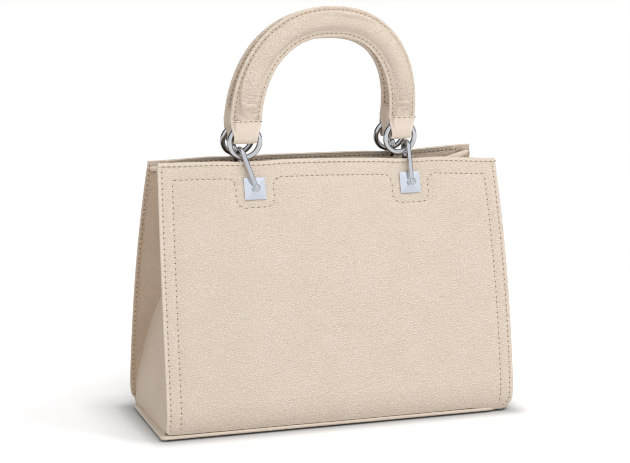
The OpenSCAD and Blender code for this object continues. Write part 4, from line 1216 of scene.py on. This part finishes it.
# The handles' leather is a little lighter than the panels', as painted light
handle_leather_painted_light = leather("handle_leather_painted_light", relief=0.0005, painted_shading=(1.05, 1.05, 1.05))
row_out, worn_top, worn_run, tab_ease = 9.9 * mm, 62 * mm, 22 * mm, 7 * mm
arches = {side: arch_line(side, stations) for side in arch}
for side in ("front", "back"):
    rings = []
    for x, up, dx, du in zip(*arches[side]):
        outline = handle_outline(swelled(up, tab_out_h, roll_out), swelled(up, tab_in_h, roll_in))
        outline[:, 0] *= girth(x)
        rings.append(np.stack([x + du * outline[:, 0], outline[:, 1], up - dx * outline[:, 0]], -1))
    spots = from_handle(side, np.array(rings))
    index = np.arange(spots.shape[0] * spots.shape[1]).reshape(spots.shape[:2])
    a, b = index[:-1], index[1:]
    quads = np.stack([a, np.roll(a, -1, 1), np.roll(b, -1, 1), b], -1).reshape(-1, 4)
    ends = [index[0][::-1].tolist(), index[-1].tolist()]
    mesh = bpy.data.meshes.new(f"{side}_handle_roll")
    mesh.from_pydata(spots.reshape(-1, 3).tolist(), [], quads.tolist() + ends)
    piece = finished(f"{side}_handle_roll", mesh, handle_leather_painted_light)
    across, out = handle_outline(roll_out, roll_in).T
    off, up = np.abs(across), arches[side][1][:, None]
    tab_top = np.where(out > 0, tab_out_h, tab_in_h)
    loose = (off < roll_w / 2 - 0.3 * mm) & (up > tab_top + 1.5 * mm)
    fill_with_core(piece, np.where(loose, 0.0, 1.0).reshape(-1))
    worn = eased((worn_top - up) / worn_run) * eased((up - tab_out_h) / tab_ease) * (off < roll_w / 2)
    sewn, rim = (np.tile(values, stations) for values in (np.abs(off - row_out), handle_w / 2 - off))
    mark(mesh, sewn=sewn, rim=rim, taut=0.0 * rim, worn=worn.reshape(-1))
    full = piece.modifiers.new("round_off", "SUBSURF")
    full.levels = full.render_levels = 1
    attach(piece, f"{side}_handle")
    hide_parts(f"{side}_handle_cover", f"{side}_handle_core", f"{side}_handle_backing")

# Tabs: one strip of smoother leather a leg, folded through its ring and sewn round the
# handle's end. Its raised middle lies on the end, and it narrows to pass the ring.
tab_axis, tab_reach, tab_half = tab_gap + tab_t - tab_hang, tab_gap + tab_t, 9.5 * mm
step_at, step_w, tip_t, tip_rows = 0.86, 0.08, 0.35 * mm, 14
tab_leather = leather("tab_leather", relief=0.0004)


def tab_height(across, up, top):
    """How far the strip's outer face stands off: full at the ring, sunk onto the handle's end."""
    sink = eased((up - tab_axis - 3 * mm) / (top - tab_axis - 5 * mm))
    full = tab_reach + 0.3 * mm * (1 - across ** 2)
    sunk = strap_t + 0.2 * mm + (end_t - strap_t + 0.1 * mm) * eased((step_at - np.abs(across)) / step_w)
    return full + (sunk - full) * sink


def tab_grid(side, leg):
    """Outer face of the strip: columns across, rows from the cover down through the ring and up."""
    across = np.linspace(-1, 1, 41)
    rows = []

    def tab_row(up, top):
        """Places across the strip at a height, and how far out they stand."""
        spread = eased((up - tab_axis) / (tab_out_h - tab_axis))
        half = (tab_half + (handle_w / 2 - 0.1 * mm - tab_half) * spread) * girth(leg * leg_half)
        return across * (half - 0.3 * mm) + leg * leg_half, tab_height(across, up, top)

    for up in np.linspace(tab_out_h - 0.4 * mm, tab_axis, 22):
        x, reach = tab_row(up, tab_out_h)
        rows.append([x, reach, np.full(len(x), up)])
    for turn in np.linspace(0, math.pi, 17)[1:-1]:
        rows.append([x, reach * math.cos(turn), tab_axis - reach * math.sin(turn)])
    for up in np.linspace(tab_axis, tab_in_h - 0.4 * mm, 30):
        x, reach = tab_row(up, tab_in_h)
        rows.append([x, -reach, np.full(len(x), up)])
    grid = from_handle(side, np.array(rows)[::-1].transpose(0, 2, 1))
    return grid if side == "front" else grid[:, ::-1]


for side in ("front", "back"):
    for name, leg in (("left", -1), ("right", 1)):
        grid = tab_grid(side, leg)
        count = np.arange(grid.shape[0])
        from_end = np.minimum(count, count[::-1])[:, None]
        thick = tip_t + (tab_t - tip_t) * eased(from_end / tip_rows)
        tab = sheet_piece(f"{side}_{name}_tab_strip", grid, thick, tab_leather, taut=0.75)
        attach(tab, f"{side}_handle")
        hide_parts(f"{side}_{name}_tab")

# Stitches of the handles: a row along each edge of both faces, and one across each
# end of the tabs, where the thread also holds the handle's end between them.
cross_from, cross_to, cross_in, cross_n = -0.86, 0.74, 1.4 * mm, 60

def handle_row(side, x, out, up, face):
    """A row on a handle's front (1) or back (-1) face: its points and the way out of it."""
    line = np.stack([x, face * out, up], -1)
    start = from_handle(side, line)
    return start, (from_handle(side, line + [0, face * mm, 0]) - start) / mm


for side in ("front", "back"):
    x, up, dx, du = arches[side]
    rows, cross_rows = [], []
    for face, top in ((1, tab_out_h), (-1, tab_in_h)):
        used = up > top - 1.2 * mm
        for edge in (-1, 1):
            off = edge * row_out * girth(x)
            out = np.full(len(x), strap_t + 0.02 * mm)
            rows.append(handle_row(side, (x + du * off)[used], out[used], (up - dx * off)[used], face))
        for leg in (-1, 1):
            across, level = np.linspace(cross_from, cross_to, cross_n), np.full(cross_n, top - cross_in)
            out = tab_height(across * 0.9, level, top) + 0.1 * mm
            spots = across * handle_w / 2 * girth(leg * leg_half) + leg * leg_half
            cross_rows.append(handle_row(side, spots, out, level, face))
    sew(f"{side}_handle_stitches", rows, f"{side}_handle", Pitch=0.0042, Stitch_length=0.003, **upright_hole)
    sew(f"{side}_tab_stitches", cross_rows, f"{side}_handle", Pitch=0.0040, Stitch_length=0.0028,
        **level_hole)

# Metal: zinc castings and bent steel wire, polished and nickel plated. The
# plates, links, rings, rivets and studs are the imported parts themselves.
def plated(name, color, rough, smudge):
    """Polished plating: wiping marks in the roughness and a trace of orange peel."""
    made, tree = blank_material(name)
    place = own_place(tree)
    wiped = noise(tree, place, 120.0, 4.0, Roughness=0.6)
    rub = add(tree, "ShaderNodeMapRange", wiped, 0.35, 0.7, rough, rough + smudge).outputs[0]
    peel = bump_of(tree, noise(tree, place, 260.0, 1.0), 0.00003, strength=0.2)
    surface(tree, Base_Color=color, Roughness=rub, Normal=peel, Metallic=1.0)
    return made


nickel = plated("polished_nickel", (0.78, 0.81, 0.86, 1.0), 0.12, 0.08)
# The wire parts: a darker copy of the same nickel, as painted shade
shaded_wire_nickel = plated("nickel_plated_wire_painted_shade", (0.60, 0.61, 0.63, 1.0), 0.14, 0.08)
small_metal = plated("plated_fittings", (0.70, 0.71, 0.73, 1.0), 0.22, 0.14)
for end in [f"{side}_{way}" for side in ("front", "back") for way in ("left", "right")]:
    for part, metal in (("plate", nickel), ("link", shaded_wire_nickel), ("ring", shaded_wire_nickel),
                        ("rivet", shaded_wire_nickel), ("washer", small_metal)):
        show_as(f"{end}_{part}", metal)
show_as("base_studs", nickel)
for name in ("stud_washers", "snap_socket", "snap_stud", "zip_slider"):
    show_as(name, small_metal)

# Pocket: a flat bag of lining cloth behind a zip on the back panel, with a woven
# tape either side of a row of metal teeth that the slider runs on.
tape_cloth = cloth("zip_tape_weave", linear(120, 100, 82), linear(152, 130, 108), 1300.0)
pocket_depth, pocket_crown, tape_proud = leather_t + board_t + lining_t + 1.0 * mm, 0.5 * mm, 1.05 * mm
for node, proud, crown, thick, material, slot_name in (
        ("pocket_bag", 0.0, pocket_crown, 0.9 * mm, lining_cloth, "lining_cloth"),
        ("zip_tape", tape_proud, 0.0, 0.5 * mm, tape_cloth, "zip_tape")):
    low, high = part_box(node)
    x, z = np.meshgrid(np.linspace(low.x, high.x, 60), np.linspace(low.z, high.z, 30))
    full = (1 - (2 * (x - x.mean()) / np.ptp(x)) ** 2) * (1 - (2 * (z - z.mean()) / np.ptp(z)) ** 2)
    points = on_panel("back", x, z, pocket_depth + proud + crown * np.maximum(0, full))
    patch = sheet_piece(f"{node}_cloth", points, thick, material)
    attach(patch, "bag")
    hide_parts(node)
